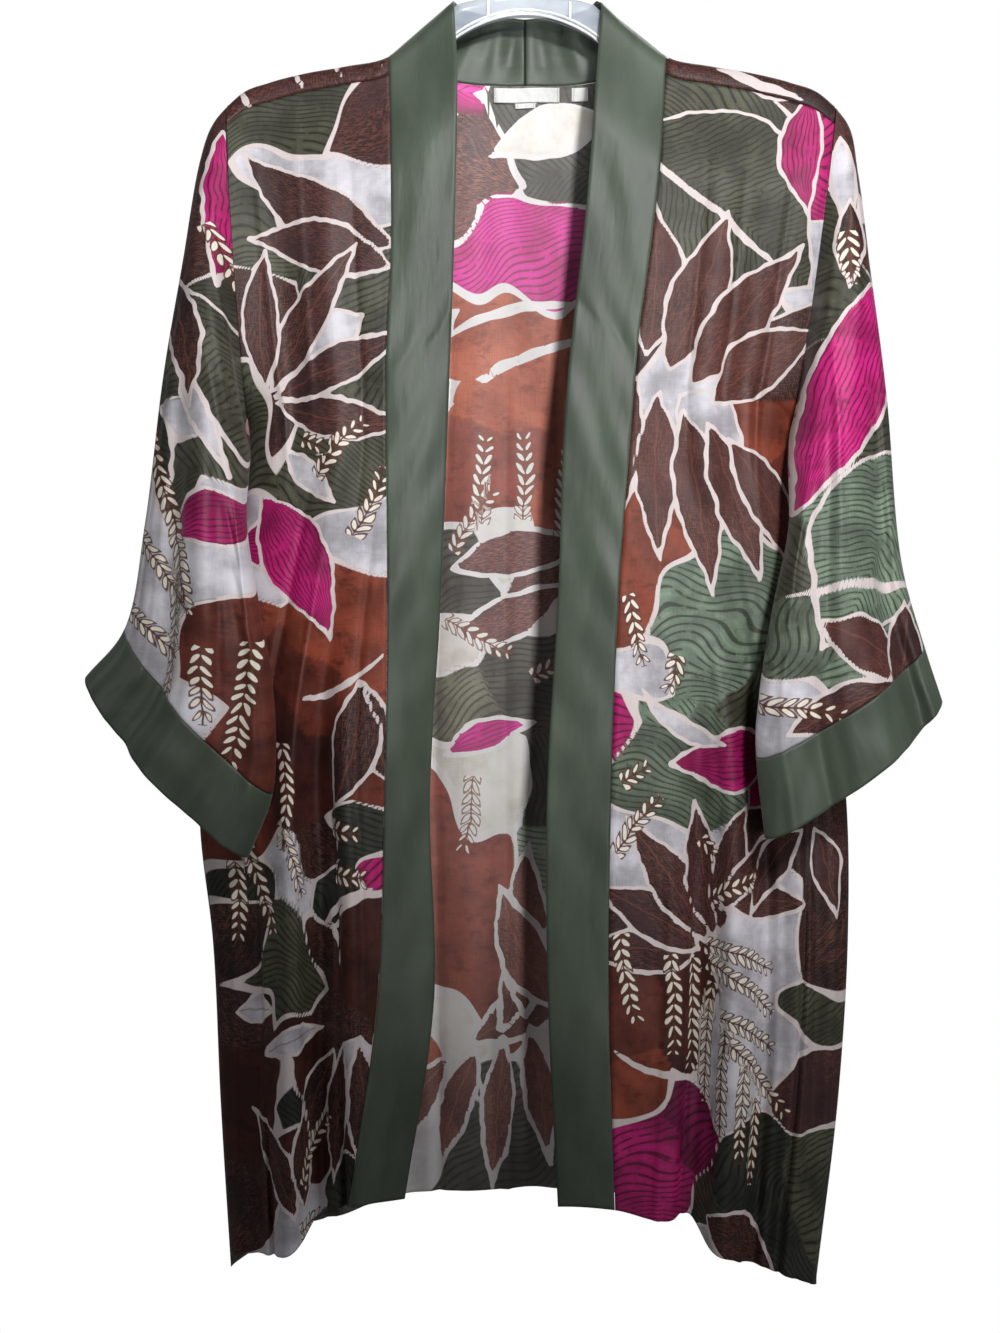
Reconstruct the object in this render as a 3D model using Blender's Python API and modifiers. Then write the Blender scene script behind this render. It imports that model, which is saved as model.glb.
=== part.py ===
"""Kimono coat hanging open on a plastic hanger.

Metres, +Z up, the front of the coat faces -Y. The origin is the underside of the hook's crest.
The cloth is one surface, body_point(across, fall), that every panel, band and label is cut from:
across runs from 0 at the middle to -1 and 1 at the side edges, and fall from 0 on the shoulder
ridge to 1 at the hem. Each sleeve is a stack of rings that starts on the armhole of that surface.
"""

from collections import namedtuple
from math import cos, pi, radians, sin

import bmesh
import bpy
import numpy as np
from mathutils import Vector

# Driving dimensions
CLOTH_WALL = 0.0010
BAND_WALL = 0.0016
SEAM_GAP = 0.0003
HALF_GAP = SEAM_GAP * 0.5
BAND_SEAM_GAP = 0.0006          # the thicker band leans over its seam
ARMHOLE_SEAM_GAP = 0.0025       # the sleeve turns sharply away from its seam
ARMHOLE_HALF = 0.120            # half the armhole's height
ARMHOLE_DEPTH = 0.030           # half its width, front to back
ARMHOLE_FALL = 0.28             # share of fall that the armhole takes
RIDGE_RADIUS = 0.012            # rounding of the cloth over the hanger's arm
SIDE_POWER = 2.3                # roundness of the coat's sides, seen from above
SHOULDER_SEAM_DROP = 0.016      # the shoulder seam lies this far down the front
LABEL_WALL = 0.0008
LABEL_STANDOFF = 0.0009         # clear of the facets of the back
HANGER_THICKNESS = 0.008
HANGER_CLEARANCE = 0.0017       # from the ridge surface down to the hanger's top edge
HANGER_NECK_DIP = 0.0040        # further down beside the neck, under the bands
HOOK_WIRE_RADIUS = 0.0017
HOOK_RADIUS = 0.0185
HOOK_STEM_BOTTOM = -0.0662

# Heights of the coat's outline: side seams, shoulder tips and front bands, at each height
Outline = namedtuple("Outline", "height left_side right_side front_depth back_depth")
OUTLINE = [
    Outline(-0.157, -0.226, 0.235, 0.034, 0.031),
    Outline(-0.280, -0.217, 0.222, 0.037, 0.033),
    Outline(-0.400, -0.210, 0.203, 0.040, 0.036),
    Outline(-0.460, -0.2130, 0.2070, 0.041, 0.037),
    Outline(-0.531, -0.226, 0.219, 0.042, 0.038),
    Outline(-0.690, -0.247, 0.244, 0.043, 0.040),
    Outline(-0.782, -0.237, 0.245, 0.044, 0.041),
    Outline(-0.903, -0.231, 0.238, 0.044, 0.042),
    Outline(-1.045, -0.222, 0.221, 0.044, 0.042),
]

Bands = namedtuple("Bands", "height left_outer left_inner right_inner right_outer left_roll right_roll")
BANDS = [
    Bands(-0.075, -0.1045, -0.0540, 0.0585, 0.1030, 0.000, 0.000),
    Bands(-0.130, -0.1032, -0.0510, 0.0540, 0.1017, 0.002, 0.002),
    Bands(-0.235, -0.1018, -0.0520, 0.0460, 0.0930, 0.003, 0.003),
    Bands(-0.384, -0.1038, -0.0571, 0.0304, 0.0809, 0.005, 0.002),
    Bands(-0.532, -0.1024, -0.0631, 0.0245, 0.0697, 0.012, 0.004),
    Bands(-0.681, -0.1046, -0.0715, 0.0163, 0.0638, 0.018, 0.003),
    Bands(-0.829, -0.1098, -0.0680, 0.0171, 0.0623, 0.012, 0.005),
    Bands(-0.985, -0.1310, -0.0905, 0.0245, 0.0668, 0.006, 0.006),
]

# The shoulder line, by distance from the middle as a share of the half width
Ridge = namedtuple("Ridge", "across height")
RIDGE = [
    Ridge(0.00, -0.064),
    Ridge(0.12, -0.068),
    Ridge(0.235, -0.0765),
    Ridge(0.32, -0.095),
    Ridge(0.455, -0.119),
    Ridge(0.60, -0.1265),
    Ridge(0.74, -0.132),
    Ridge(0.86, -0.139),
    Ridge(0.95, -0.147),
    Ridge(1.00, -0.157),
]

Hem = namedtuple("Hem", "across left_front right_front back")
HEM = [
    Hem(0.00, -0.975, -0.984, -0.988),
    Hem(0.30, -0.976, -0.985, -0.990),
    Hem(0.48, -0.980, -0.994, -0.996),
    Hem(0.56, -0.982, -0.992, -1.000),
    Hem(0.62, -0.985, -1.014, -1.004),
    Hem(0.69, -0.992, -1.022, -1.009),
    Hem(0.76, -1.015, -1.028, -1.014),
    Hem(0.88, -1.022, -1.037, -1.024),
    Hem(1.00, -1.026, -1.050, -1.038),
]

Neckline = namedtuple("Neckline", "across height")
NECKLINE = [
    Neckline(0.00, -0.1345),
    Neckline(0.20, -0.1335),
    Neckline(0.34, -0.1285),
    Neckline(0.455, -0.1190),
]
NECK_ACROSS = NECKLINE[-1].across

# The free upper edge of the band behind the neck, from the shoulder to the middle
CollarEdge = namedtuple("CollarEdge", "step across depth height")
COLLAR_EDGE = [
    CollarEdge(0.00, 0.054, 0.000, -0.0765),
    CollarEdge(0.25, 0.048, 0.013, -0.0785),
    CollarEdge(0.60, 0.027, 0.022, -0.0815),
    CollarEdge(1.00, 0.000, 0.025, -0.0835),
]

# Folds of the body: where each starts and ends, how far it stands out, how wide it is
Fold = namedtuple("Fold", "across_top across_hem depth width start end")
FOLDS = {
    "left_front": [
        Fold(0.60, 0.79, 0.016, 0.055, 0.42, 1.3),
        Fold(0.56, 0.68, -0.015, 0.045, 0.40, 1.3),
        Fold(0.52, 0.56, 0.008, 0.040, 0.50, 1.3),
        Fold(0.78, 0.93, -0.008, 0.045, 0.55, 1.3),
        Fold(0.70, 0.60, 0.006, 0.060, 0.02, 0.50),
        Fold(0.86, 0.74, -0.006, 0.050, 0.03, 0.42),
    ],
    "right_front": [
        Fold(0.58, 0.66, 0.014, 0.055, 0.45, 1.3),
        Fold(0.48, 0.56, -0.012, 0.042, 0.50, 1.3),
        Fold(0.66, 0.78, -0.010, 0.045, 0.38, 1.3),
        Fold(0.74, 0.89, 0.011, 0.055, 0.35, 1.3),
        Fold(0.68, 0.62, 0.006, 0.060, 0.02, 0.46),
        Fold(0.84, 0.72, -0.006, 0.050, 0.03, 0.42),
    ],
    "back": [
        Fold(-0.72, -0.80, 0.011, 0.070, 0.30, 1.3),
        Fold(-0.58, -0.62, -0.010, 0.060, 0.25, 1.3),
        Fold(-0.38, -0.42, 0.009, 0.080, 0.35, 1.3),
        Fold(-0.16, -0.18, -0.007, 0.070, 0.20, 1.3),
        Fold(0.02, 0.03, 0.008, 0.075, 0.30, 1.3),
        Fold(0.20, 0.24, -0.008, 0.065, 0.22, 1.3),
        Fold(0.40, 0.45, 0.010, 0.075, 0.32, 1.3),
        Fold(0.60, 0.66, -0.010, 0.060, 0.26, 1.3),
        Fold(0.76, 0.84, 0.010, 0.060, 0.36, 1.3),
    ],
}

# Sleeve rings from the armhole to the cuff's hem: top line, underarm line, half depth
Ring = namedtuple("Ring", "step top_x top_y top_z under_x under_y under_z half_depth droop")
SLEEVE_RINGS = {
    -1: [
        Ring(0.00, -0.2260, 0.000, -0.157, -0.2100, 0.000, -0.397, 0.030, 0.000),
        Ring(0.06, -0.2345, -0.002, -0.168, -0.2195, -0.008, -0.402, 0.032, 0.000),
        Ring(0.20, -0.2455, -0.006, -0.200, -0.2150, -0.033, -0.424, 0.034, 0.000),
        Ring(0.38, -0.2560, -0.020, -0.277, -0.2040, -0.062, -0.478, 0.033, 0.002),
        Ring(0.55, -0.2690, -0.030, -0.366, -0.1935, -0.076, -0.537, 0.031, 0.005),
        Ring(0.72, -0.2810, -0.036, -0.472, -0.1825, -0.080, -0.602, 0.030, 0.008),
        Ring(0.88, -0.2965, -0.040, -0.554, -0.1835, -0.078, -0.674, 0.030, 0.008),
        Ring(1.00, -0.3245, -0.042, -0.589, -0.2010, -0.076, -0.720, 0.030, 0.011),
    ],
    1: [
        Ring(0.00, 0.2350, 0.000, -0.157, 0.2030, 0.000, -0.397, 0.030, 0.000),
        Ring(0.06, 0.2440, -0.002, -0.170, 0.2135, -0.008, -0.402, 0.032, 0.000),
        Ring(0.20, 0.2515, -0.006, -0.208, 0.2090, -0.033, -0.426, 0.034, 0.000),
        Ring(0.38, 0.2585, -0.020, -0.283, 0.1930, -0.062, -0.482, 0.033, 0.002),
        Ring(0.55, 0.2690, -0.030, -0.381, 0.1800, -0.076, -0.540, 0.031, 0.005),
        Ring(0.72, 0.2780, -0.036, -0.497, 0.1700, -0.080, -0.602, 0.030, 0.008),
        Ring(0.88, 0.2955, -0.040, -0.566, 0.1680, -0.078, -0.648, 0.030, 0.009),
        Ring(1.00, 0.3080, -0.042, -0.606, 0.1745, -0.076, -0.706, 0.030, 0.011),
    ],
}
CUFF_START = 0.88

# Folds along the sleeves: degrees round the ring from the top line, the front first
SleeveFold = namedtuple("SleeveFold", "degrees depth width start end")
SLEEVE_FOLDS = {
    -1: [
        SleeveFold(62, -0.010, 13, 0.35, 1.3),
        SleeveFold(95, 0.008, 16, 0.30, 1.3),
        SleeveFold(128, -0.007, 14, 0.25, 1.3),
        SleeveFold(238, 0.009, 18, 0.30, 1.3),
        SleeveFold(285, -0.008, 16, 0.25, 1.3),
    ],
    1: [
        SleeveFold(48, -0.012, 12, 0.35, 1.3),
        SleeveFold(82, 0.007, 18, 0.30, 1.3),
        SleeveFold(122, -0.005, 14, 0.25, 1.3),
        SleeveFold(232, 0.010, 18, 0.30, 1.3),
        SleeveFold(280, -0.008, 16, 0.25, 1.3),
    ],
}

Finish = namedtuple("Finish", "colour roughness metallic")
PRINTED_CLOTH = Finish((0.105, 0.045, 0.040), 0.55, 0.0)
GREEN_SATIN = Finish((0.100, 0.130, 0.095), 0.38, 0.0)
WHITE_LABEL = Finish((0.80, 0.80, 0.78), 0.60, 0.0)
CLEAR_PLASTIC = Finish((0.62, 0.68, 0.76), 0.22, 0.0)
HOOK_STEEL = Finish((0.70, 0.70, 0.72), 0.25, 1.0)


def smooth_table(rows, key, value, at):
    """Cubic through a table's column, with slopes from its neighbours."""
    xs = np.array([getattr(row, key) for row in rows], dtype=float)
    ys = np.array([getattr(row, value) for row in rows], dtype=float)
    if xs[0] > xs[-1]:
        xs, ys = xs[::-1], ys[::-1]
    slopes = np.gradient(ys, xs)
    at = np.clip(np.asarray(at, dtype=float), xs[0], xs[-1])
    i = np.clip(np.searchsorted(xs, at, side="right") - 1, 0, len(xs) - 2)
    step = xs[i + 1] - xs[i]
    t = (at - xs[i]) / step
    rise = 3.0 * t ** 2 - 2.0 * t ** 3
    return (ys[i] * (1.0 - rise) + ys[i + 1] * rise
            + step * slopes[i] * t * (1.0 - t) ** 2 - step * slopes[i + 1] * t ** 2 * (1.0 - t))


def smooth_step(low, high, at):
    """0 below low, 1 above high, and a soft rise between."""
    t = np.clip((np.asarray(at, dtype=float) - low) / (high - low), 0.0, 1.0)
    return t * t * (3.0 - 2.0 * t)


def fold_relief(folds, across, fall):
    """Sum of the soft ridges and valleys that run down a panel."""
    relief = np.zeros_like(across)
    for fold in folds:
        centre = fold.across_top + (fold.across_hem - fold.across_top) * fall
        envelope = smooth_step(fold.start, fold.start + 0.22, fall)
        envelope = envelope * (1.0 - smooth_step(fold.end - 0.15, fold.end, fall))
        relief = relief + fold.depth * envelope * np.exp(-((across - centre) / fold.width) ** 2)
    return relief


def drop_below_ridge(across, fall, panel):
    """Distance down the cloth from the shoulder ridge, at a share of the fall."""
    reach = np.abs(across)
    ridge = smooth_table(RIDGE, "across", "height", reach)
    hem = smooth_table(HEM, "across", panel, reach)
    armhole = ARMHOLE_HALF * (1.0 - np.cos(pi * np.minimum(fall / ARMHOLE_FALL, 1.0)))
    below = np.clip((fall - ARMHOLE_FALL) / (1.0 - ARMHOLE_FALL), 0.0, 1.0)
    return armhole + (ridge - hem - 2.0 * ARMHOLE_HALF) * below


def side_edge(fall, side, panel):
    """The panel's side edge: half the armhole's ellipse, then the side seam."""
    tip = RIDGE[-1].height
    height = tip - drop_below_ridge(np.ones_like(fall), fall, panel)
    column = "left_side" if side < 0 else "right_side"
    top = getattr(OUTLINE[0], column)
    under = SLEEVE_RINGS[side][0].under_x
    turn = np.cos(pi * np.minimum(fall / ARMHOLE_FALL, 1.0))
    armhole_x = (top + under) / 2.0 + turn * (top - under) / 2.0
    seam_x = smooth_table(OUTLINE, "height", column, height)
    low = smooth_step(0.0, 0.10, fall - ARMHOLE_FALL)
    x = np.where(fall < ARMHOLE_FALL, armhole_x, under + (seam_x - under) * low)
    depth = ARMHOLE_DEPTH * np.sin(pi * np.minimum(fall / ARMHOLE_FALL, 1.0))
    return x, depth


def body_point(across, fall):
    """A point of the coat's body; a negative fall is on the back, below the ridge there."""
    across, fall = np.broadcast_arrays(np.asarray(across, float), np.asarray(fall, float))
    points = np.zeros(across.shape + (3,))
    for side in (-1, 1):
        for front in (True, False):
            chosen = (across < 0 if side < 0 else across >= 0) & (fall >= 0 if front else fall < 0)
            if not chosen.any():
                continue
            q = np.abs(across[chosen])
            v = np.abs(fall[chosen])
            front_panel = "left_front" if side < 0 else "right_front"
            panel = front_panel if front else "back"
            hem_panel = front_panel
            edge_x, edge_depth = side_edge(v, side, hem_panel)
            edge_depth = edge_depth * q ** 8
            drop = drop_below_ridge(q, v, panel)
            ridge = smooth_table(RIDGE, "across", "height", q)
            height = ridge - drop
            column = "front_depth" if front else "back_depth"
            full = smooth_table(OUTLINE, "height", column, np.minimum(height, OUTLINE[0].height))
            near = np.sqrt(1.0 - (1.0 - np.minimum(drop / RIDGE_RADIUS, 1.0)) ** 2)
            middle = RIDGE_RADIUS * near + (full - RIDGE_RADIUS) * smooth_step(0.0, 0.10, drop)
            closing = np.maximum(1.0 - q ** SIDE_POWER, 0.0) ** (1.0 / SIDE_POWER)
            depth = edge_depth + (middle - edge_depth) * closing
            signed = across[chosen] if panel == "back" else q
            depth = depth + fold_relief(FOLDS[panel], signed, v) * np.minimum(closing * 1.3, 1.0)
            points[chosen, 0] = q * np.abs(edge_x) * side
            points[chosen, 1] = -depth if front else depth
            points[chosen, 2] = height
    return points


def band_across(side, edge, fall):
    """How far across the body a band's outer or inner edge lies, at each fall."""
    column = ("left_" if side < 0 else "right_") + edge
    guess = np.full_like(fall, 0.45 if edge == "outer" else 0.25)
    front_panel = "left_front" if side < 0 else "right_front"
    for _ in range(3):
        ridge = smooth_table(RIDGE, "across", "height", guess)
        height = ridge - drop_below_ridge(guess, fall, front_panel)
        edge_x = np.abs(side_edge(fall, side, front_panel)[0])
        guess = side * smooth_table(BANDS, "height", column, height) / edge_x
    if edge == "outer":
        guess = NECK_ACROSS + (guess - NECK_ACROSS) * smooth_step(0.09, 0.24, fall)
    return guess


def grid_object(name, points, closed=False, wall=CLOTH_WALL, left_out=None):
    """A wall round a grid of points; closed joins its first and last columns."""
    rows, columns = points.shape[:2]
    mesh = bpy.data.meshes.new(name)
    bm = bmesh.new()
    bmesh.ops.create_grid(bm, x_segments=columns - 1, y_segments=rows - 1, size=1.0)
    bm.verts.ensure_lookup_table()
    for vert, point in zip(bm.verts, points.reshape(-1, 3)):
        vert.co = Vector(point)
    if closed:
        bmesh.ops.remove_doubles(bm, verts=bm.verts, dist=0.00001)
    if left_out is not None:
        corners = [(face, min(vert.index for vert in face.verts)) for face in bm.faces]
        unwanted = [face for face, first in corners if left_out[first // columns, first % columns]]
        bmesh.ops.delete(bm, geom=unwanted, context="FACES")
    bm.normal_update()
    bm.to_mesh(mesh)
    bm.free()
    mesh.shade_smooth()
    thing = bpy.data.objects.new(name, mesh)
    coat_parts.objects.link(thing)
    solidify = thing.modifiers.new("Wall", "SOLIDIFY")
    solidify.thickness = wall
    solidify.offset = 0.0
    solidify.use_even_offset = not closed
    return thing


def pull_in(points, start_gap=0.0, end_gap=0.0, left_gap=0.0, right_gap=0.0):
    """Move a grid's outer rows and columns inwards by a share of a seam's gap."""
    def shifted(edge, inner, gap):
        way = inner - edge
        length = np.linalg.norm(way, axis=-1, keepdims=True)
        return edge + way / np.maximum(length, 1e-9) * gap

    result = points.copy()
    result[0] = shifted(result[0], points[1], start_gap)
    result[-1] = shifted(result[-1], points[-2], end_gap)
    result[:, 0] = shifted(result[:, 0], result[:, 1], left_gap)
    result[:, -1] = shifted(result[:, -1], result[:, -2], right_gap)
    return result


def dress(thing, slot, finish):
    """Give a sub-part its own material."""
    material = bpy.data.materials.new(slot)
    material.use_nodes = True
    shader = material.node_tree.nodes["Principled BSDF"]
    shader.inputs["Base Color"].default_value = (*finish.colour, 1.0)
    shader.inputs["Roughness"].default_value = finish.roughness
    shader.inputs["Metallic"].default_value = finish.metallic
    thing.data.materials.append(material)


def fall_rows(first, count_below):
    """Falls of the rows: close together at the armhole's ends, even below it."""
    turns = np.radians([40, 58, 78, 100, 122, 142, 160, 172, 180])
    upper = turns / pi * ARMHOLE_FALL
    near = ARMHOLE_FALL + np.array([0.012, 0.035])
    below = np.linspace(ARMHOLE_FALL + 0.07, 1.0, count_below)
    return np.concatenate([first, upper, near, below])


def shoulder_seam_fall():
    """The fall at which the shoulder seam crosses the front."""
    return np.arccos(1.0 - SHOULDER_SEAM_DROP / ARMHOLE_HALF) / pi * ARMHOLE_FALL


def side_columns():
    """Shares of the way across that follow the rounding of the coat's side."""
    turns = np.radians([2.0, 8.0, 17.0, 28.0, 40.0])
    return (np.cos(turns) ** (2.0 / SIDE_POWER))[::-1]


def neck_fall(across):
    """The fall of the back's neckline; 0 outside it."""
    dip = (smooth_table(RIDGE, "across", "height", across)
           - smooth_table(NECKLINE, "across", "height", across))
    dip = np.where(across < NECK_ACROSS - 1e-6, np.maximum(dip, 0.0), 0.0)
    return np.arccos(1.0 - dip / ARMHOLE_HALF) / pi * ARMHOLE_FALL


def build_front(side):
    """A front panel, from the shoulder seam to the hem and from the band to the side."""
    seam = shoulder_seam_fall()
    falls = fall_rows([seam, seam + 0.004], 15)
    start = np.abs(band_across(side, "outer", falls))[:, None]
    inner = np.linspace(0.0, 1.0, 9)[None, :-1]
    across = start + (side_columns()[0] - start) * inner
    rim = np.broadcast_to(side_columns()[None, :], (len(falls), 5))
    across = np.concatenate([across, rim, np.ones((len(falls), 1))], axis=1)
    points = body_point(side * across, np.broadcast_to(falls[:, None], across.shape))
    points = pull_in(points, start_gap=HALF_GAP, right_gap=HALF_GAP)
    panel = grid_object("front_left" if side < 0 else "front_right", points)
    dress(panel, panel.name, PRINTED_CLOTH)


def build_back():
    """The back panel: it wraps over the shoulders to their seams, and dips at the neck."""
    seam = shoulder_seam_fall()
    wrap = np.array([-seam, -seam * 0.6, -seam * 0.3, 0.0, seam * 0.3, seam * 0.6, seam])
    falls = fall_rows(wrap, 15)
    rim = side_columns()
    shoulder = np.linspace(NECK_ACROSS, rim[0], 7)
    middle = np.linspace(0.0, NECK_ACROSS, 7)[:-1]
    half = np.concatenate([middle, shoulder, rim[1:], [1.0]])
    across = np.concatenate([-half[:0:-1], half])
    start = neck_fall(np.abs(across))
    fall = np.where(falls[:, None] > 0.0, start + (1.0 - start) * falls[:, None], falls[:, None])
    ridge_row = int(np.argmin(np.abs(falls)))
    fall[ridge_row] = start
    points = body_point(np.broadcast_to(across[None, :], fall.shape), -fall)
    points = pull_in(points, start_gap=HALF_GAP, left_gap=HALF_GAP, right_gap=HALF_GAP)
    in_neck = np.maximum(np.abs(across[:-1]), np.abs(across[1:])) < NECK_ACROSS + 1e-6
    above_neck = np.arange(len(falls) - 1) < ridge_row
    panel = grid_object("back", points, left_out=above_neck[:, None] & in_neck[None, :])
    dress(panel, panel.name, PRINTED_CLOTH)


def band_points(side, columns, rows_down, rows_neck):
    """A band: down the front from the ridge, and round the neck to its middle."""
    share = np.linspace(0.0, 1.0, columns)
    falls = np.concatenate([np.linspace(1.0, 0.10, rows_down), [0.08, 0.06, 0.045, 0.03, 0.018, 0.008]])
    outer = band_across(side, "outer", falls)
    inner = band_across(side, "inner", falls)
    across = outer[:, None] + (inner - outer)[:, None] * share[None, :]
    front = body_point(side * across, np.broadcast_to(falls[:, None], across.shape))
    column = "left_roll" if side < 0 else "right_roll"
    roll = smooth_table(BANDS, "height", column, front[:, -1, 2])
    front[..., 1] += roll[:, None] * share[None, :] ** 1.5
    steps = np.linspace(0.0, 1.0, rows_neck)
    neck_across = NECK_ACROSS * (1.0 - steps)
    seam = body_point(side * neck_across, -np.maximum(neck_fall(neck_across), 1e-6))
    edge = np.stack([side * smooth_table(COLLAR_EDGE, "step", "across", steps),
                     smooth_table(COLLAR_EDGE, "step", "depth", steps),
                     smooth_table(COLLAR_EDGE, "step", "height", steps)], axis=-1)
    neck = seam[:, None, :] + (edge - seam)[:, None, :] * share[None, :, None]
    bulge = np.sin(pi * share)[None, :] * np.sin(pi * np.minimum(steps, 0.5))[:, None]
    neck[..., 1] += 0.003 * bulge
    return np.concatenate([front, neck], axis=0)


def build_band(side):
    """A front band with its half of the collar behind the neck."""
    points = band_points(side, 5, 18, 7)
    points = pull_in(points, end_gap=HALF_GAP, left_gap=BAND_SEAM_GAP)
    band = grid_object("band_left" if side < 0 else "band_right", points, wall=BAND_WALL)
    dress(band, band.name, GREEN_SATIN)


def sleeve_points(side, steps, degrees):
    """Rings of a sleeve at the given steps: ellipses from the top line to the underarm line."""
    rings = SLEEVE_RINGS[side]

    def column(name):
        return smooth_table(rings, "step", name, steps)

    top = np.stack([column("top_x"), column("top_y"), column("top_z")], axis=-1)
    under = np.stack([column("under_x"), column("under_y"), column("under_z")], axis=-1)
    middle = (top + under) / 2.0
    arm = (top - under) / 2.0
    turn = np.radians(degrees)
    depth = column("half_depth")[:, None] * np.ones_like(turn)[None, :]
    for fold in SLEEVE_FOLDS[side]:
        envelope = smooth_step(fold.start, fold.start + 0.35, steps)[:, None]
        away = (np.asarray(degrees) - fold.degrees)[None, :] / fold.width
        depth = depth + fold.depth * envelope * np.exp(-away ** 2)
    along = arm[:, None, :] * np.cos(turn)[None, :, None]
    points = middle[:, None, :] + along
    points[..., 1] -= depth * np.sin(turn)[None, :]
    length = np.hypot(arm[:, 0], arm[:, 2])
    sag = (column("droop") / length)[:, None] * np.abs(np.sin(turn))[None, :]
    points[..., 0] += side * arm[:, 2][:, None] * sag
    points[..., 2] -= side * arm[:, 0][:, None] * sag
    return points


def ring_degrees():
    """Degrees round a sleeve, closer at the top line and the underarm."""
    half = np.array([0, 12, 26, 44, 62, 79, 95, 112, 128, 145, 158, 170, 180])
    return np.concatenate([half, 360 - half[-2::-1]])


def build_sleeve(side):
    """A sleeve, as a tube from the armhole to the cuff's seam."""
    steps = np.array([0.0, 0.03, 0.06, 0.12, 0.20, 0.29, 0.38, 0.47, 0.55, 0.64, 0.72, 0.80, CUFF_START])
    points = sleeve_points(side, steps, ring_degrees())
    points = pull_in(points, start_gap=ARMHOLE_SEAM_GAP, end_gap=HALF_GAP)
    sleeve = grid_object("sleeve_left" if side < 0 else "sleeve_right", points, closed=True)
    dress(sleeve, sleeve.name, PRINTED_CLOTH)


def build_cuff(side):
    """The plain band at the sleeve's end."""
    steps = np.linspace(CUFF_START, 1.0, 4)
    points = pull_in(sleeve_points(side, steps, ring_degrees()), start_gap=HALF_GAP)
    cuff = grid_object("cuff_left" if side < 0 else "cuff_right", points, closed=True)
    dress(cuff, cuff.name, GREEN_SATIN)


Label = namedtuple("Label", "name left right top bottom")
LABELS = [
    Label("label_main", -0.0240, 0.0265, -0.1362, -0.1470),
    Label("label_tab", -0.0075, 0.0080, -0.1474, -0.1512),
    Label("label_size", 0.0360, 0.0485, -0.1362, -0.1462),
]


def build_label(label):
    """A small woven label, on the inside of the back, under the neck seam."""
    columns, rows = 7, 4
    x = np.linspace(label.left, label.right, columns)[None, :]
    z = np.linspace(label.top, label.bottom, rows)[:, None]
    half_width = abs(OUTLINE[0].left_side)
    across = x / half_width + np.zeros_like(z)
    drop = smooth_table(RIDGE, "across", "height", np.abs(across)) - z
    fall = np.arccos(1.0 - drop / ARMHOLE_HALF) / pi * ARMHOLE_FALL
    points = body_point(across, -fall)
    points[..., 0] = x + np.zeros_like(z)
    points[..., 2] = z + np.zeros_like(x)
    points[..., 1] -= CLOTH_WALL / 2.0 + LABEL_WALL / 2.0 + LABEL_STANDOFF
    patch = grid_object(label.name, points, wall=LABEL_WALL)
    dress(patch, patch.name, WHITE_LABEL)


def hanger_edges(x):
    """Heights of the hanger's upper and lower edges at a distance from the middle."""
    reach = np.abs(x)
    tip_reach = abs(OUTLINE[0].left_side)
    upper = smooth_table(RIDGE, "across", "height", reach / tip_reach) - HANGER_CLEARANCE
    neck = smooth_step(0.03, 0.07, reach) * (1.0 - smooth_step(0.103, 0.125, reach))
    upper = np.minimum(upper - HANGER_NECK_DIP * neck, -0.0665 - 0.25 * reach)
    plate = 0.0205 + 0.011 * smooth_step(0.0, 0.09, reach) - 0.014 * smooth_step(0.10, 0.21, reach)
    return upper, upper - plate


def build_hanger():
    """The hanger's body: a flat plate of clear plastic with an arched underside."""
    half_span = 0.1980
    x = np.linspace(-half_span, half_span, 41)
    upper, lower = hanger_edges(x)
    curve = bpy.data.curves.new("hanger_body", "CURVE")
    curve.dimensions = "2D"
    curve.fill_mode = "BOTH"
    rounding = 0.002
    curve.extrude = HANGER_THICKNESS / 2.0 - rounding
    curve.bevel_depth = rounding
    curve.bevel_resolution = 1
    curve.offset = -rounding
    outline = [(a, b) for a, b in zip(x, upper)] + [(a, b) for a, b in zip(x[::-1], lower[::-1])]
    spline = curve.splines.new("POLY")
    spline.points.add(len(outline) - 1)
    for point, (px, pz) in zip(spline.points, outline):
        point.co = (px, pz, 0.0, 1.0)
    spline.use_cyclic_u = True
    plate = bpy.data.objects.new("hanger_body", curve)
    plate.rotation_euler = (radians(90), 0.0, 0.0)
    coat_parts.objects.link(plate)
    dress(plate, plate.name, CLEAR_PLASTIC)


def build_hook():
    """The wire hook: a straight stem, a bend to the side and a round crook over the origin."""
    crest = HOOK_WIRE_RADIUS
    centre_z = crest - HOOK_RADIUS
    turns = np.radians(np.linspace(-62.0, 200.0, 26))
    crook = [(HOOK_RADIUS * cos(a), centre_z + HOOK_RADIUS * sin(a)) for a in turns]
    stem = [(0.0, HOOK_STEM_BOTTOM), (0.0, -0.056), (0.0, -0.047), (0.0006, -0.0425), (0.0034, -0.0378)]
    curve = bpy.data.curves.new("hanger_hook", "CURVE")
    curve.dimensions = "3D"
    curve.bevel_depth = HOOK_WIRE_RADIUS
    curve.bevel_resolution = 2
    curve.use_fill_caps = True
    spline = curve.splines.new("POLY")
    path = stem + crook
    spline.points.add(len(path) - 1)
    for point, (px, pz) in zip(spline.points, path):
        point.co = (px, 0.0, pz, 1.0)
    hook = bpy.data.objects.new("hanger_hook", curve)
    coat_parts.objects.link(hook)
    dress(hook, hook.name, HOOK_STEEL)


for old in list(bpy.data.objects):
    bpy.data.objects.remove(old)
coat_parts = bpy.data.collections.new("kimono_coat_on_hanger")
bpy.context.scene.collection.children.link(coat_parts)

build_back()
for coat_side in (-1, 1):
    build_front(coat_side)
    build_band(coat_side)
    build_sleeve(coat_side)
    build_cuff(coat_side)
for label_row in LABELS:
    build_label(label_row)
build_hanger()
build_hook()
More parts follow.
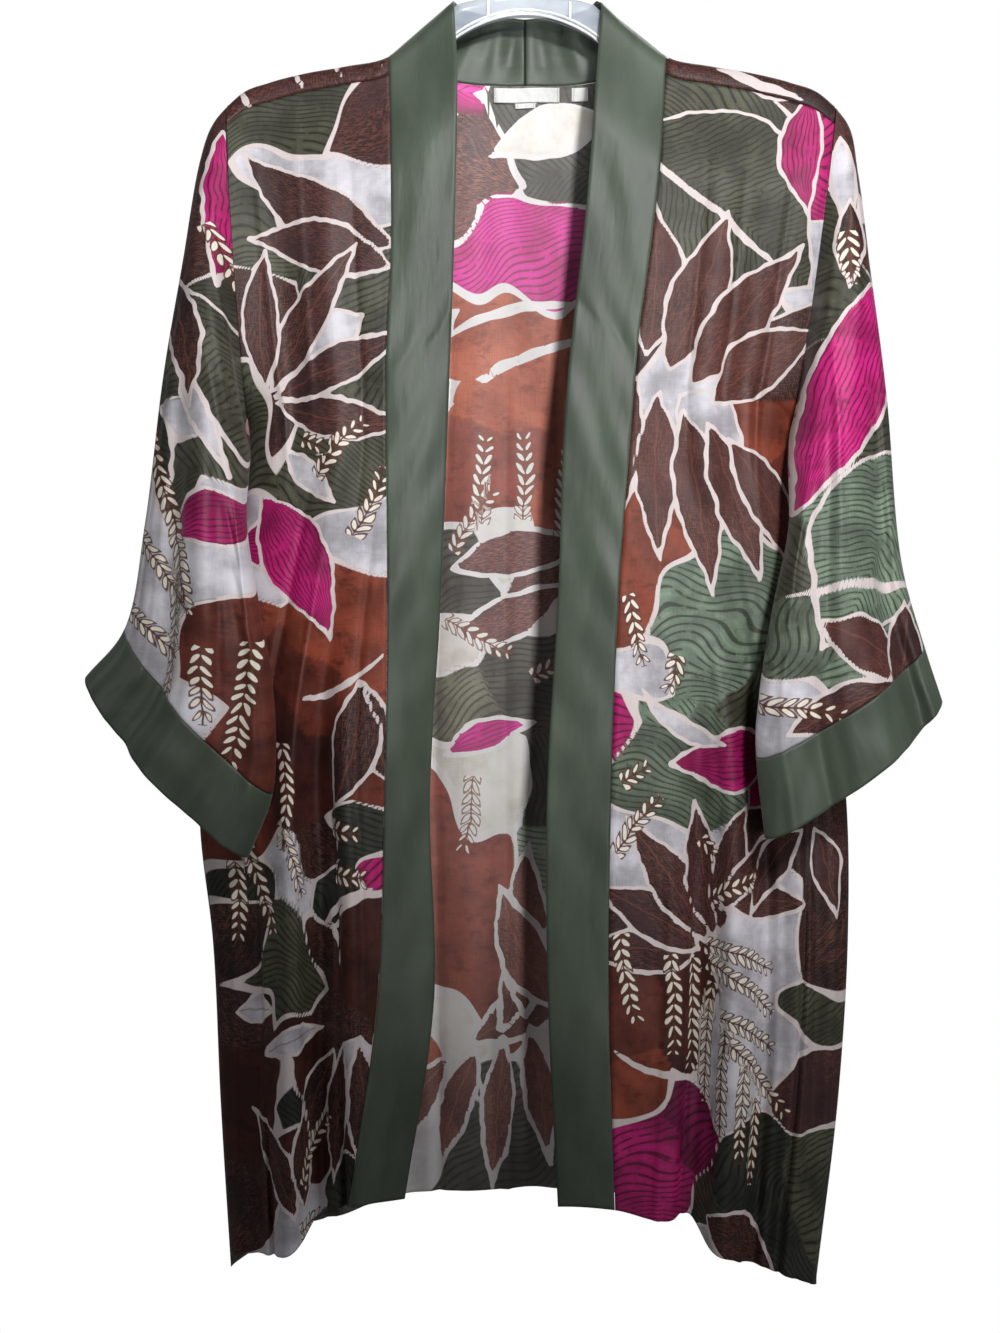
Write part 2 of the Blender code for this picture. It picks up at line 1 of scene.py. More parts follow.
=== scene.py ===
"""Looks of the kimono coat on its hanger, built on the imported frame.

Metres, +Z up, the front of the coat faces -Y, and the origin is the underside of the hook's crest.
Every cloth panel is a fine grid on one surface, Drape.body(across, fall): across runs from 0 at the
middle to -1 and 1 at the side edges, fall from 0 on the shoulder ridge to 1 at the hem. The sleeves
are stacks of rings. The leaf print is worked out on the flat cloth and kept as point attributes.
"""
import logging
from collections import namedtuple
from dataclasses import dataclass, field
from enum import Enum
from typing import Any, Optional, Sequence

import bpy
import numpy as np
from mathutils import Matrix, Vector


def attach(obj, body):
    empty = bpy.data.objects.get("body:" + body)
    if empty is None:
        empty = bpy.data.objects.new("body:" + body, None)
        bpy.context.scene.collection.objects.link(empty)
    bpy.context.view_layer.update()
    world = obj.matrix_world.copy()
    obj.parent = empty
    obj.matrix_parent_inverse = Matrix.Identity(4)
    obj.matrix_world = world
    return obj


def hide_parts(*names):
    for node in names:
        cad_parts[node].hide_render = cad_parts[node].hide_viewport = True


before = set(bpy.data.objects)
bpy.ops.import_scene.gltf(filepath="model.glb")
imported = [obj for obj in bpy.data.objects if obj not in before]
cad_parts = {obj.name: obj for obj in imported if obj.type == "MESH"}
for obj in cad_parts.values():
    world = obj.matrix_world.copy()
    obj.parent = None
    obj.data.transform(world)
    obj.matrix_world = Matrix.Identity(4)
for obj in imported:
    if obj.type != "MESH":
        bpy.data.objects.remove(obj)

log = logging.getLogger("kimono_coat")
PI = np.pi

# The cloth's outline, in metres, as the frame has it

HALF_GAP = 0.00015
ARMHOLE_HALF = 0.120
ARMHOLE_DEPTH = 0.030
ARMHOLE_FALL = 0.28
RIDGE_RADIUS = 0.012
SIDE_POWER = 2.3
SHOULDER_SEAM_DROP = 0.016
CUFF_START = 0.88

# How the fine grid goes beyond the frame's folds: gains on the crease tables, and soft unevenness
BODY_CREASE_GAIN = 2.0
SLEEVE_CREASE_GAIN = 1.7
UNEVEN_DEPTH = 0.0018

# A panel's columns crowd towards its side seam as this power of a sine
SIDE_CROWDING = 0.92

# The print's own sizes, in metres
PATCH_WAVE, PATCH_WAVE_LENGTH = 0.018, 0.26
LEAF_WAVE, LEAF_WAVE_LENGTH = 0.0016, 0.045
SPRIG_REACH = 0.0072

Outline = namedtuple("Outline", "height left_side right_side front_depth back_depth")
OUTLINE = [
    Outline(-0.157, -0.226, 0.235, 0.034, 0.031),
    Outline(-0.280, -0.217, 0.222, 0.037, 0.033),
    Outline(-0.400, -0.210, 0.203, 0.040, 0.036),
    Outline(-0.460, -0.2130, 0.2070, 0.041, 0.037),
    Outline(-0.531, -0.226, 0.219, 0.042, 0.038),
    Outline(-0.690, -0.247, 0.244, 0.043, 0.040),
    Outline(-0.782, -0.237, 0.245, 0.044, 0.041),
    Outline(-0.903, -0.231, 0.238, 0.044, 0.042),
    Outline(-1.045, -0.222, 0.221, 0.044, 0.042),
]

Bands = namedtuple(
    "Bands", "height left_outer left_inner right_inner right_outer left_roll right_roll")
BANDS = [
    Bands(-0.075, -0.1045, -0.0540, 0.0585, 0.1030, 0.000, 0.000),
    Bands(-0.130, -0.1032, -0.0510, 0.0540, 0.1017, 0.002, 0.002),
    Bands(-0.235, -0.1018, -0.0520, 0.0460, 0.0930, 0.003, 0.003),
    Bands(-0.384, -0.1038, -0.0571, 0.0304, 0.0809, 0.005, 0.002),
    Bands(-0.532, -0.1024, -0.0631, 0.0245, 0.0697, 0.012, 0.004),
    Bands(-0.681, -0.1046, -0.0715, 0.0163, 0.0638, 0.018, 0.003),
    Bands(-0.829, -0.1098, -0.0680, 0.0171, 0.0623, 0.012, 0.005),
    Bands(-0.985, -0.1310, -0.0905, 0.0245, 0.0668, 0.006, 0.006),
]

Ridge = namedtuple("Ridge", "across height")
RIDGE = [
    Ridge(0.00, -0.064), Ridge(0.12, -0.068), Ridge(0.235, -0.0765), Ridge(0.32, -0.095),
    Ridge(0.455, -0.119), Ridge(0.60, -0.1265), Ridge(0.74, -0.132), Ridge(0.86, -0.139),
    Ridge(0.95, -0.147), Ridge(1.00, -0.157),
]

Hem = namedtuple("Hem", "across left_front right_front back")
HEM = [
    Hem(0.00, -0.975, -0.984, -0.988), Hem(0.30, -0.976, -0.985, -0.990),
    Hem(0.48, -0.980, -0.994, -0.996), Hem(0.56, -0.982, -0.992, -1.000),
    Hem(0.62, -0.985, -1.014, -1.004), Hem(0.69, -0.992, -1.022, -1.009),
    Hem(0.76, -1.015, -1.028, -1.014), Hem(0.88, -1.022, -1.037, -1.024),
    Hem(1.00, -1.026, -1.050, -1.038),
]

Neckline = namedtuple("Neckline", "across height")
NECKLINE = [
    Neckline(0.00, -0.1345), Neckline(0.20, -0.1335), Neckline(0.34, -0.1285),
    Neckline(0.455, -0.1190),
]
NECK_ACROSS = NECKLINE[-1].across

CollarEdge = namedtuple("CollarEdge", "step across depth height")
COLLAR_EDGE = [
    CollarEdge(0.00, 0.054, 0.000, -0.0765), CollarEdge(0.25, 0.048, 0.013, -0.0785),
    CollarEdge(0.60, 0.027, 0.022, -0.0815), CollarEdge(1.00, 0.000, 0.025, -0.0835),
]

# Folds: where each starts and ends across the panel, how far it stands out, its width, its fall
Fold = namedtuple("Fold", "across_top across_hem depth width start end")
FOLDS = {
    "left_front": [
        Fold(0.60, 0.79, 0.016, 0.055, 0.42, 1.3), Fold(0.56, 0.68, -0.015, 0.045, 0.40, 1.3),
        Fold(0.52, 0.56, 0.008, 0.040, 0.50, 1.3), Fold(0.78, 0.93, -0.008, 0.045, 0.55, 1.3),
        Fold(0.70, 0.60, 0.006, 0.060, 0.02, 0.50), Fold(0.86, 0.74, -0.006, 0.050, 0.03, 0.42),
    ],
    "right_front": [
        Fold(0.58, 0.66, 0.014, 0.055, 0.45, 1.3), Fold(0.48, 0.56, -0.012, 0.042, 0.50, 1.3),
        Fold(0.66, 0.78, -0.010, 0.045, 0.38, 1.3), Fold(0.74, 0.89, 0.011, 0.055, 0.35, 1.3),
        Fold(0.68, 0.62, 0.006, 0.060, 0.02, 0.46), Fold(0.84, 0.72, -0.006, 0.050, 0.03, 0.42),
    ],
    "back": [
        Fold(-0.72, -0.80, 0.011, 0.070, 0.30, 1.3), Fold(-0.58, -0.62, -0.010, 0.060, 0.25, 1.3),
        Fold(-0.38, -0.42, 0.009, 0.080, 0.35, 1.3), Fold(-0.16, -0.18, -0.007, 0.070, 0.20, 1.3),
        Fold(0.02, 0.03, 0.008, 0.075, 0.30, 1.3), Fold(0.20, 0.24, -0.008, 0.065, 0.22, 1.3),
        Fold(0.40, 0.45, 0.010, 0.075, 0.32, 1.3), Fold(0.60, 0.66, -0.010, 0.060, 0.26, 1.3),
        Fold(0.76, 0.84, 0.010, 0.060, 0.36, 1.3),
    ],
}

# Smaller creases that only the fine grid has room for, in the same columns
CREASES = {
    "left_front": [
        Fold(0.62, 0.74, 0.0022, 0.012, 0.35, 1.3), Fold(0.66, 0.90, -0.0020, 0.016, 0.30, 1.3),
        Fold(0.74, 0.86, 0.0026, 0.014, 0.45, 1.3), Fold(0.50, 0.52, -0.0016, 0.010, 0.30, 0.9),
        Fold(0.94, 0.66, 0.0018, 0.014, 0.04, 0.40), Fold(0.60, 0.52, -0.0012, 0.012, 0.05, 0.45),
        Fold(0.55, 0.61, 0.0020, 0.010, 0.62, 1.3), Fold(0.66, 0.72, -0.0024, 0.009, 0.55, 1.3),
        Fold(0.80, 0.97, 0.0020, 0.012, 0.60, 1.3), Fold(0.78, 0.70, 0.0014, 0.014, 0.03, 0.36),
        Fold(0.575, 0.60, -0.0048, 0.010, 0.56, 1.3), Fold(0.86, 0.84, -0.0036, 0.009, 0.62, 1.3),
    ],
    "right_front": [
        Fold(0.70, 0.80, 0.0022, 0.014, 0.35, 1.3), Fold(0.80, 0.92, -0.0022, 0.014, 0.40, 1.3),
        Fold(0.56, 0.60, -0.0018, 0.012, 0.45, 1.3), Fold(0.92, 0.70, 0.0020, 0.014, 0.04, 0.42),
        Fold(0.62, 0.54, -0.0014, 0.012, 0.05, 0.40), Fold(0.88, 0.98, 0.0024, 0.012, 0.50, 1.3),
        Fold(0.45, 0.44, 0.0014, 0.010, 0.55, 1.3), Fold(0.64, 0.72, 0.0022, 0.010, 0.66, 1.3),
        Fold(0.75, 0.66, -0.0014, 0.012, 0.03, 0.38), Fold(0.84, 0.86, -0.0042, 0.010, 0.50, 1.3),
        Fold(0.50, 0.52, -0.0034, 0.009, 0.64, 1.3),
    ],
    "back": [
        Fold(-0.82, -0.90, -0.0030, 0.018, 0.35, 1.3), Fold(-0.65, -0.68, 0.0026, 0.016, 0.30, 1.3),
        Fold(-0.48, -0.52, -0.0024, 0.016, 0.40, 1.3), Fold(-0.27, -0.30, 0.0022, 0.018, 0.15, 1.3),
        Fold(-0.07, -0.06, -0.0020, 0.014, 0.25, 1.3), Fold(0.11, 0.14, 0.0022, 0.015, 0.18, 1.3),
        Fold(0.30, 0.34, -0.0024, 0.016, 0.34, 1.3), Fold(0.50, 0.56, 0.0026, 0.016, 0.30, 1.3),
        Fold(0.68, 0.74, -0.0026, 0.016, 0.38, 1.3), Fold(0.86, 0.92, 0.0026, 0.016, 0.44, 1.3),
    ],
}

# The frame's sleeve rings, with the underarm line up to 13 mm further in, which closes a notch
Ring = namedtuple("Ring", "step top_x top_y top_z under_x under_y under_z half_depth droop")
SLEEVE_RINGS = {
    -1: [
        Ring(0.00, -0.2260, 0.000, -0.157, -0.2100, 0.000, -0.397, 0.030, 0.000),
        Ring(0.06, -0.2345, -0.002, -0.168, -0.2110, -0.012, -0.402, 0.032, 0.000),
        Ring(0.20, -0.2455, -0.006, -0.200, -0.2050, -0.036, -0.424, 0.034, 0.000),
        Ring(0.38, -0.2560, -0.020, -0.277, -0.2040, -0.062, -0.478, 0.033, 0.002),
        Ring(0.55, -0.2690, -0.030, -0.366, -0.1935, -0.076, -0.537, 0.031, 0.005),
        Ring(0.72, -0.2810, -0.036, -0.472, -0.1825, -0.080, -0.602, 0.030, 0.008),
        Ring(0.88, -0.2965, -0.040, -0.554, -0.1835, -0.078, -0.674, 0.030, 0.008),
        Ring(1.00, -0.3245, -0.042, -0.589, -0.2010, -0.076, -0.720, 0.030, 0.011),
    ],
    1: [
        Ring(0.00, 0.2350, 0.000, -0.157, 0.2030, 0.000, -0.397, 0.030, 0.000),
        Ring(0.06, 0.2440, -0.002, -0.170, 0.2005, -0.012, -0.403, 0.032, 0.000),
        Ring(0.20, 0.2515, -0.006, -0.208, 0.1960, -0.036, -0.427, 0.034, 0.000),
        Ring(0.38, 0.2585, -0.020, -0.283, 0.1930, -0.062, -0.482, 0.033, 0.002),
        Ring(0.55, 0.2690, -0.030, -0.381, 0.1800, -0.076, -0.540, 0.031, 0.005),
        Ring(0.72, 0.2780, -0.036, -0.497, 0.1700, -0.080, -0.602, 0.030, 0.008),
        Ring(0.88, 0.2955, -0.040, -0.566, 0.1680, -0.078, -0.648, 0.030, 0.009),
        Ring(1.00, 0.3080, -0.042, -0.606, 0.1745, -0.076, -0.706, 0.030, 0.011),
    ],
}

# Folds along the sleeves: degrees round the ring from the top line, the front first
SleeveFold = namedtuple("SleeveFold", "degrees depth width start end")
SLEEVE_FOLDS = {
    -1: [
        SleeveFold(62, -0.010, 13, 0.35, 1.3), SleeveFold(95, 0.008, 16, 0.30, 1.3),
        SleeveFold(128, -0.007, 14, 0.25, 1.3), SleeveFold(238, 0.009, 18, 0.30, 1.3),
        SleeveFold(285, -0.008, 16, 0.25, 1.3),
    ],
    1: [
        SleeveFold(48, -0.012, 12, 0.35, 1.3), SleeveFold(82, 0.007, 18, 0.30, 1.3),
        SleeveFold(122, -0.005, 14, 0.25, 1.3), SleeveFold(232, 0.010, 18, 0.30, 1.3),
        SleeveFold(280, -0.008, 16, 0.25, 1.3),
    ],
}
SLEEVE_CREASES = {
    -1: [
        SleeveFold(78, 0.0022, 4, 0.45, 1.3), SleeveFold(110, -0.0022, 5, 0.35, 1.3),
        SleeveFold(143, 0.0020, 5, 0.20, 1.3), SleeveFold(52, 0.0020, 4, 0.50, 1.3),
        SleeveFold(30, -0.0018, 5, 0.20, 1.3), SleeveFold(215, -0.0022, 5, 0.30, 1.3),
        SleeveFold(262, 0.0024, 6, 0.25, 1.3), SleeveFold(312, -0.0022, 6, 0.20, 1.3),
        SleeveFold(69, -0.0058, 5, 0.62, 1.3), SleeveFold(88, 0.0036, 7, 0.66, 1.3),
        SleeveFold(120, -0.0032, 6, 0.70, 1.3), SleeveFold(248, -0.0050, 6, 0.60, 1.3),
    ],
    1: [
        SleeveFold(62, 0.0022, 4, 0.50, 1.3), SleeveFold(102, -0.0022, 5, 0.30, 1.3),
        SleeveFold(140, 0.0020, 5, 0.25, 1.3), SleeveFold(34, 0.0018, 5, 0.40, 1.3),
        SleeveFold(92, 0.0014, 4, 0.10, 0.8), SleeveFold(212, -0.0022, 5, 0.30, 1.3),
        SleeveFold(258, 0.0024, 6, 0.25, 1.3), SleeveFold(310, -0.0022, 6, 0.20, 1.3),
        SleeveFold(112, -0.0050, 6, 0.62, 1.3), SleeveFold(74, 0.0034, 8, 0.66, 1.3),
        SleeveFold(44, -0.0036, 6, 0.60, 1.3), SleeveFold(246, -0.0050, 6, 0.60, 1.3),
    ],
}


# Small sums that every surface uses

def smooth_table(rows: Sequence[Any], key: str, value: str, at: Any) -> np.ndarray:
    """Cubic through a table's column, with slopes from its neighbours.

    Args:
        rows: the table.
        key: the column to look in.
        value: the column to read.
        at: where to read it.

    Returns:
        The values there.
    """
    xs = np.array([getattr(row, key) for row in rows], dtype=float)
    ys = np.array([getattr(row, value) for row in rows], dtype=float)
    if xs[0] > xs[-1]:
        xs, ys = xs[::-1], ys[::-1]
    slopes = np.gradient(ys, xs)
    at = np.clip(np.asarray(at, dtype=float), xs[0], xs[-1])
    i = np.clip(np.searchsorted(xs, at, side="right") - 1, 0, len(xs) - 2)
    step = xs[i + 1] - xs[i]
    t = (at - xs[i]) / step
    rise = 3.0 * t ** 2 - 2.0 * t ** 3
    return (ys[i] * (1.0 - rise) + ys[i + 1] * rise
            + step * slopes[i] * t * (1.0 - t) ** 2 - step * slopes[i + 1] * t ** 2 * (1.0 - t))


def smooth_step(low: float, high: float, at: Any) -> np.ndarray:
    """0 below low, 1 above high, and a soft rise between."""
    t = np.clip((np.asarray(at, dtype=float) - low) / (high - low), 0.0, 1.0)
    return t * t * (3.0 - 2.0 * t)


def uneven(seed: int, a: np.ndarray, b: np.ndarray, size: float) -> np.ndarray:
    """A soft uneven field between about -1 and 1: six slanted sine waves, each shorter than the last.

    Args:
        seed: which waves.
        a: first coordinate, in metres.
        b: second coordinate, in metres.
        size: the longest wave's length, in metres.

    Returns:
        The field at each point.
    """
    chance = np.random.default_rng(seed)
    total = np.zeros(np.broadcast(a, b).shape)
    for octave in range(6):
        turn, phase = chance.uniform(0.0, 2.0 * PI, 2)
        pitch = size * 0.72 ** octave
        wave = 2.0 * PI * (a * np.cos(turn) + b * np.sin(turn)) / pitch + phase
        total = total + 0.85 ** octave * np.sin(wave)
    return total / 3.0


def steps_along(points: np.ndarray, axis: int) -> np.ndarray:
    """Running length of a grid's lines along one of its axes, from its first point.

    Args:
        points: grid of points.
        axis: 0 to run down the columns, 1 to run along the rows.

    Returns:
        The length at each point.
    """
    lengths = np.linalg.norm(np.diff(points, axis=axis), axis=-1)
    start = np.zeros_like(np.take(lengths, [0], axis=axis))
    return np.concatenate([start, np.cumsum(lengths, axis=axis)], axis=axis)


def pull_in(points: np.ndarray, start: float = 0.0, end: float = 0.0,
            left: float = 0.0, right: float = 0.0) -> np.ndarray:
    """Move a grid's outer rows and columns inwards by these distances, which leaves a seam's gap."""
    def shifted(edge: np.ndarray, inner: np.ndarray, gap: float) -> np.ndarray:
        """The edge, moved towards the inner row by the gap."""
        way = inner - edge
        length = np.linalg.norm(way, axis=-1, keepdims=True)
        return edge + way / np.maximum(length, 1e-9) * np.minimum(gap, length * 0.9)

    result = points.copy()
    result[0] = shifted(result[0], points[1], start)
    result[-1] = shifted(result[-1], points[-2], end)
    result[:, 0] = shifted(result[:, 0], result[:, 1], left)
    result[:, -1] = shifted(result[:, -1], result[:, -2], right)
    return result


# The hanging form

class Drape:
    """The surface that the coat's panels lie on."""

    @staticmethod
    def relief(folds: Sequence[Fold], across: np.ndarray, fall: np.ndarray) -> np.ndarray:
        """Sum of bell curves across the panel, each with a centre that moves with the fall."""
        relief = np.zeros_like(across)
        for fold in folds:
            centre = fold.across_top + (fold.across_hem - fold.across_top) * fall
            envelope = smooth_step(fold.start, fold.start + 0.22, fall)
            envelope = envelope * (1.0 - smooth_step(fold.end - 0.15, fold.end, fall))
            relief = relief + fold.depth * envelope * np.exp(-((across - centre) / fold.width) ** 2)
        return relief

    @staticmethod
    def drop(across: np.ndarray, fall: np.ndarray, panel: str) -> np.ndarray:
        """Distance down from the ridge: a cosine as far as the armhole goes, then even to the hem."""
        reach = np.abs(across)
        ridge = smooth_table(RIDGE, "across", "height", reach)
        hem = smooth_table(HEM, "across", panel, reach)
        armhole = ARMHOLE_HALF * (1.0 - np.cos(PI * np.minimum(fall / ARMHOLE_FALL, 1.0)))
        below = np.clip((fall - ARMHOLE_FALL) / (1.0 - ARMHOLE_FALL), 0.0, 1.0)
        return armhole + (ridge - hem - 2.0 * ARMHOLE_HALF) * below

    @staticmethod
    def side_edge(fall: np.ndarray, side: int, panel: str) -> tuple[np.ndarray, np.ndarray]:
        """The side edge's place across and its depth: half an ellipse, then the side seam."""
        height = RIDGE[-1].height - Drape.drop(np.ones_like(fall), fall, panel)
        column = "left_side" if side < 0 else "right_side"
        top = getattr(OUTLINE[0], column)
        under = SLEEVE_RINGS[side][0].under_x
        turn = PI * np.minimum(fall / ARMHOLE_FALL, 1.0)
        armhole_x = (top + under) / 2.0 + np.cos(turn) * (top - under) / 2.0
        seam_x = smooth_table(OUTLINE, "height", column, height)
        low = smooth_step(0.0, 0.10, fall - ARMHOLE_FALL)
        x = np.where(fall < ARMHOLE_FALL, armhole_x, under + (seam_x - under) * low)
        return x, ARMHOLE_DEPTH * np.sin(turn)

    @staticmethod
    def body(across: np.ndarray, fall: np.ndarray, fine: bool = True) -> np.ndarray:
        """A point of the coat's body; a negative fall is on the back, below the ridge there.

        The place across is its share of the side edge's. The height is the ridge's less the drop. The
        depth goes from the middle's to the side edge's along a rounded curve, plus the folds.

        Args:
            across: share of the way to the side edge, negative on the left.
            fall: share of the way down, negative on the back.
            fine: whether the small creases are added.

        Returns:
            The points, with a last axis of three.
        """
        across, fall = np.broadcast_arrays(np.asarray(across, float), np.asarray(fall, float))
        points = np.zeros(across.shape + (3,))
        for side in (-1, 1):
            for front in (True, False):
                chosen = across < 0 if side < 0 else across >= 0
                chosen = chosen & (fall >= 0 if front else fall < 0)
                if not chosen.any():
                    continue
                q, v = np.abs(across[chosen]), np.abs(fall[chosen])
                front_panel = "left_front" if side < 0 else "right_front"
                panel = front_panel if front else "back"
                edge_x, edge_depth = Drape.side_edge(v, side, front_panel)
                edge_depth = edge_depth * q ** 8
                drop = Drape.drop(q, v, panel)
                height = smooth_table(RIDGE, "across", "height", q) - drop
                column = "front_depth" if front else "back_depth"
                full = smooth_table(OUTLINE, "height", column, np.minimum(height, OUTLINE[0].height))
                near = np.sqrt(1.0 - (1.0 - np.minimum(drop / RIDGE_RADIUS, 1.0)) ** 2)
                middle = RIDGE_RADIUS * near + (full - RIDGE_RADIUS) * smooth_step(0.0, 0.10, drop)
                closing = np.maximum(1.0 - q ** SIDE_POWER, 0.0) ** (1.0 / SIDE_POWER)
                depth = edge_depth + (middle - edge_depth) * closing
                signed = across[chosen] if panel == "back" else q
                relief = Drape.relief(FOLDS[panel], signed, v)
                if fine:
                    relief = relief + BODY_CREASE_GAIN * Drape.relief(CREASES[panel], signed, v)
                    wander = uneven(11 if front else 12, signed * 0.23, v * 0.45, 0.13)
                    relief = relief + UNEVEN_DEPTH * wander * smooth_step(0.03, 0.20, v)
                depth = depth + relief * np.minimum(closing * 1.3, 1.0)
                points[chosen, 0] = q * np.abs(edge_x) * side
                points[chosen, 1] = -depth if front else depth
                points[chosen, 2] = height
        return points

    @staticmethod
    def band_across(side: int, edge: str, fall: np.ndarray) -> np.ndarray:
        """How far across the body a band's outer or inner edge lies, at each fall."""
        column = ("left_" if side < 0 else "right_") + edge
        guess = np.full_like(fall, 0.45 if edge == "outer" else 0.25)
        panel = "left_front" if side < 0 else "right_front"
        for _ in range(3):
            height = smooth_table(RIDGE, "across", "height", guess) - Drape.drop(guess, fall, panel)
            edge_x = np.abs(Drape.side_edge(fall, side, panel)[0])
            guess = side * smooth_table(BANDS, "height", column, height) / edge_x
        if edge == "outer":
            guess = NECK_ACROSS + (guess - NECK_ACROSS) * smooth_step(0.09, 0.24, fall)
        return guess

    @staticmethod
    def neck_fall(across: np.ndarray) -> np.ndarray:
        """The fall of the back's neckline; 0 outside it."""
        dip = (smooth_table(RIDGE, "across", "height", across)
               - smooth_table(NECKLINE, "across", "height", across))
        dip = np.where(across < NECK_ACROSS - 1e-6, np.maximum(dip, 0.0), 0.0)
        return np.arccos(1.0 - dip / ARMHOLE_HALF) / PI * ARMHOLE_FALL

    @staticmethod
    def seam_fall() -> float:
        """The fall at which the shoulder seam crosses the front."""
        return float(np.arccos(1.0 - SHOULDER_SEAM_DROP / ARMHOLE_HALF) / PI * ARMHOLE_FALL)

    @staticmethod
    def falls(first: float, count: int, panel: str) -> np.ndarray:
        """Falls that step evenly down the panel: found from the drop by looking it up backwards."""
        fine = np.linspace(first, 1.0, 4000)
        drop = Drape.drop(np.full_like(fine, 0.7), fine, panel)
        return np.interp(np.linspace(drop[0], drop[-1], count), drop, fine)

    @staticmethod
    def sleeve(side: int, steps: np.ndarray, degrees: np.ndarray, fine: bool = True) -> np.ndarray:
        """Rings of a sleeve: each is an ellipse from the top line to the underarm line, with folds.

        Args:
            side: -1 or 1.
            steps: shares of the way from the armhole to the cuff's hem.
            degrees: turns round the ring, 0 on the top line and 90 at the front.
            fine: whether the small creases are added.

        Returns:
            The grid of points, a row for each step.
        """
        def column(name: str) -> np.ndarray:
            """A column of the rings' table at each step."""
            return smooth_table(SLEEVE_RINGS[side], "step", name, steps)

        top, under = (np.stack([column(f"{line}_{axis}") for axis in "xyz"], -1)
                      for line in ("top", "under"))
        middle, arm = (top + under) / 2.0, (top - under) / 2.0
        turn = np.radians(degrees)
        depth = column("half_depth")[:, None] * np.ones_like(turn)[None, :]
        creases = [crease._replace(depth=SLEEVE_CREASE_GAIN * crease.depth)
                   for crease in SLEEVE_CREASES[side]]
        for fold in SLEEVE_FOLDS[side] + (creases if fine else []):
            envelope = smooth_step(fold.start, fold.start + 0.35, steps)[:, None]
            envelope = envelope * (1.0 - smooth_step(fold.end - 0.3, fold.end, steps))[:, None]
            away = (np.asarray(degrees) - fold.degrees)[None, :] / fold.width
            depth = depth + fold.depth * envelope * np.exp(-away ** 2)
        if fine:
            wander = uneven(21 + side, np.sin(turn)[None, :] * 0.20 + turn[None, :] * 0.03,
                            steps[:, None] * 0.5, 0.15)
            depth = depth + UNEVEN_DEPTH * wander * smooth_step(0.03, 0.25, steps)[:, None]
        points = middle[:, None, :] + arm[:, None, :] * np.cos(turn)[None, :, None]
        points[..., 1] -= depth * np.sin(turn)[None, :]
        length = np.hypot(arm[:, 0], arm[:, 2])
        sag = (column("droop") / length)[:, None] * np.abs(np.sin(turn))[None, :]
        points[..., 0] += side * arm[:, 2][:, None] * sag
        points[..., 2] -= side * arm[:, 0][:, None] * sag
        return points


# The leaf print, on the flat cloth

class Pattern(Enum):
    """What fills a patch or a leaf; the value is kept in the colour's fourth channel."""
    PLAIN = 0.5
    LINED = 1.0
    MOTTLED = 0.25
    SCRATCHED = 0.0


@dataclass(frozen=True)
class Ink:
    """A printed colour, 0 to 255 as seen, and what fills it."""
    red: float
    green: float
    blue: float
    pattern: Pattern

    def channels(self) -> np.ndarray:
        """The colour in linear light, with the pattern's value as a fourth channel."""
        seen = np.array([self.red, self.green, self.blue]) / 255.0
        linear = np.where(seen <= 0.04045, seen / 12.92, ((seen + 0.055) / 1.055) ** 2.4)
        return np.append(linear, self.pattern.value)


INKS = {
    "pale": Ink(226, 222, 231, Pattern.PLAIN),
    "cream": Ink(238, 226, 208, Pattern.PLAIN),
    "sage": Ink(100, 112, 94, Pattern.LINED),
    "green": Ink(80, 80, 65, Pattern.LINED),
    "dark_green": Ink(52, 53, 45, Pattern.LINED),
    "mint": Ink(122, 140, 120, Pattern.LINED),
    "magenta": Ink(190, 26, 112, Pattern.LINED),
    "fuchsia": Ink(216, 32, 130, Pattern.LINED),
    "plum": Ink(136, 18, 82, Pattern.LINED),
    "rust": Ink(146, 68, 48, Pattern.MOTTLED),
    "russet": Ink(112, 50, 38, Pattern.MOTTLED),
    "brown": Ink(58, 36, 39, Pattern.SCRATCHED),
    "umber": Ink(42, 27, 30, Pattern.SCRATCHED),
    "chestnut": Ink(80, 46, 44, Pattern.SCRATCHED),
    "mahogany": Ink(76, 34, 28, Pattern.MOTTLED),
    "coal": Ink(30, 24, 25, Pattern.SCRATCHED),
}
FAMILIES = {ink: number for number, family in enumerate((
    ("pale", "cream"), ("sage", "green", "dark_green", "mint"), ("magenta", "fuchsia", "plum"),
    ("rust", "russet", "brown", "umber", "chestnut", "mahogany", "coal"))) for ink in family}

# Ground patches: the middle of each, its ink, and how much larger than its neighbours it is
Patch = namedtuple("Patch", "x z ink reach")
Leaf = namedtuple("Leaf", "x z turn length width bend ink")
Palm = namedtuple("Palm", "x z turn spread count length width ink stem stem_turn")
Sprig = namedtuple("Sprig", "x z turn length bend")


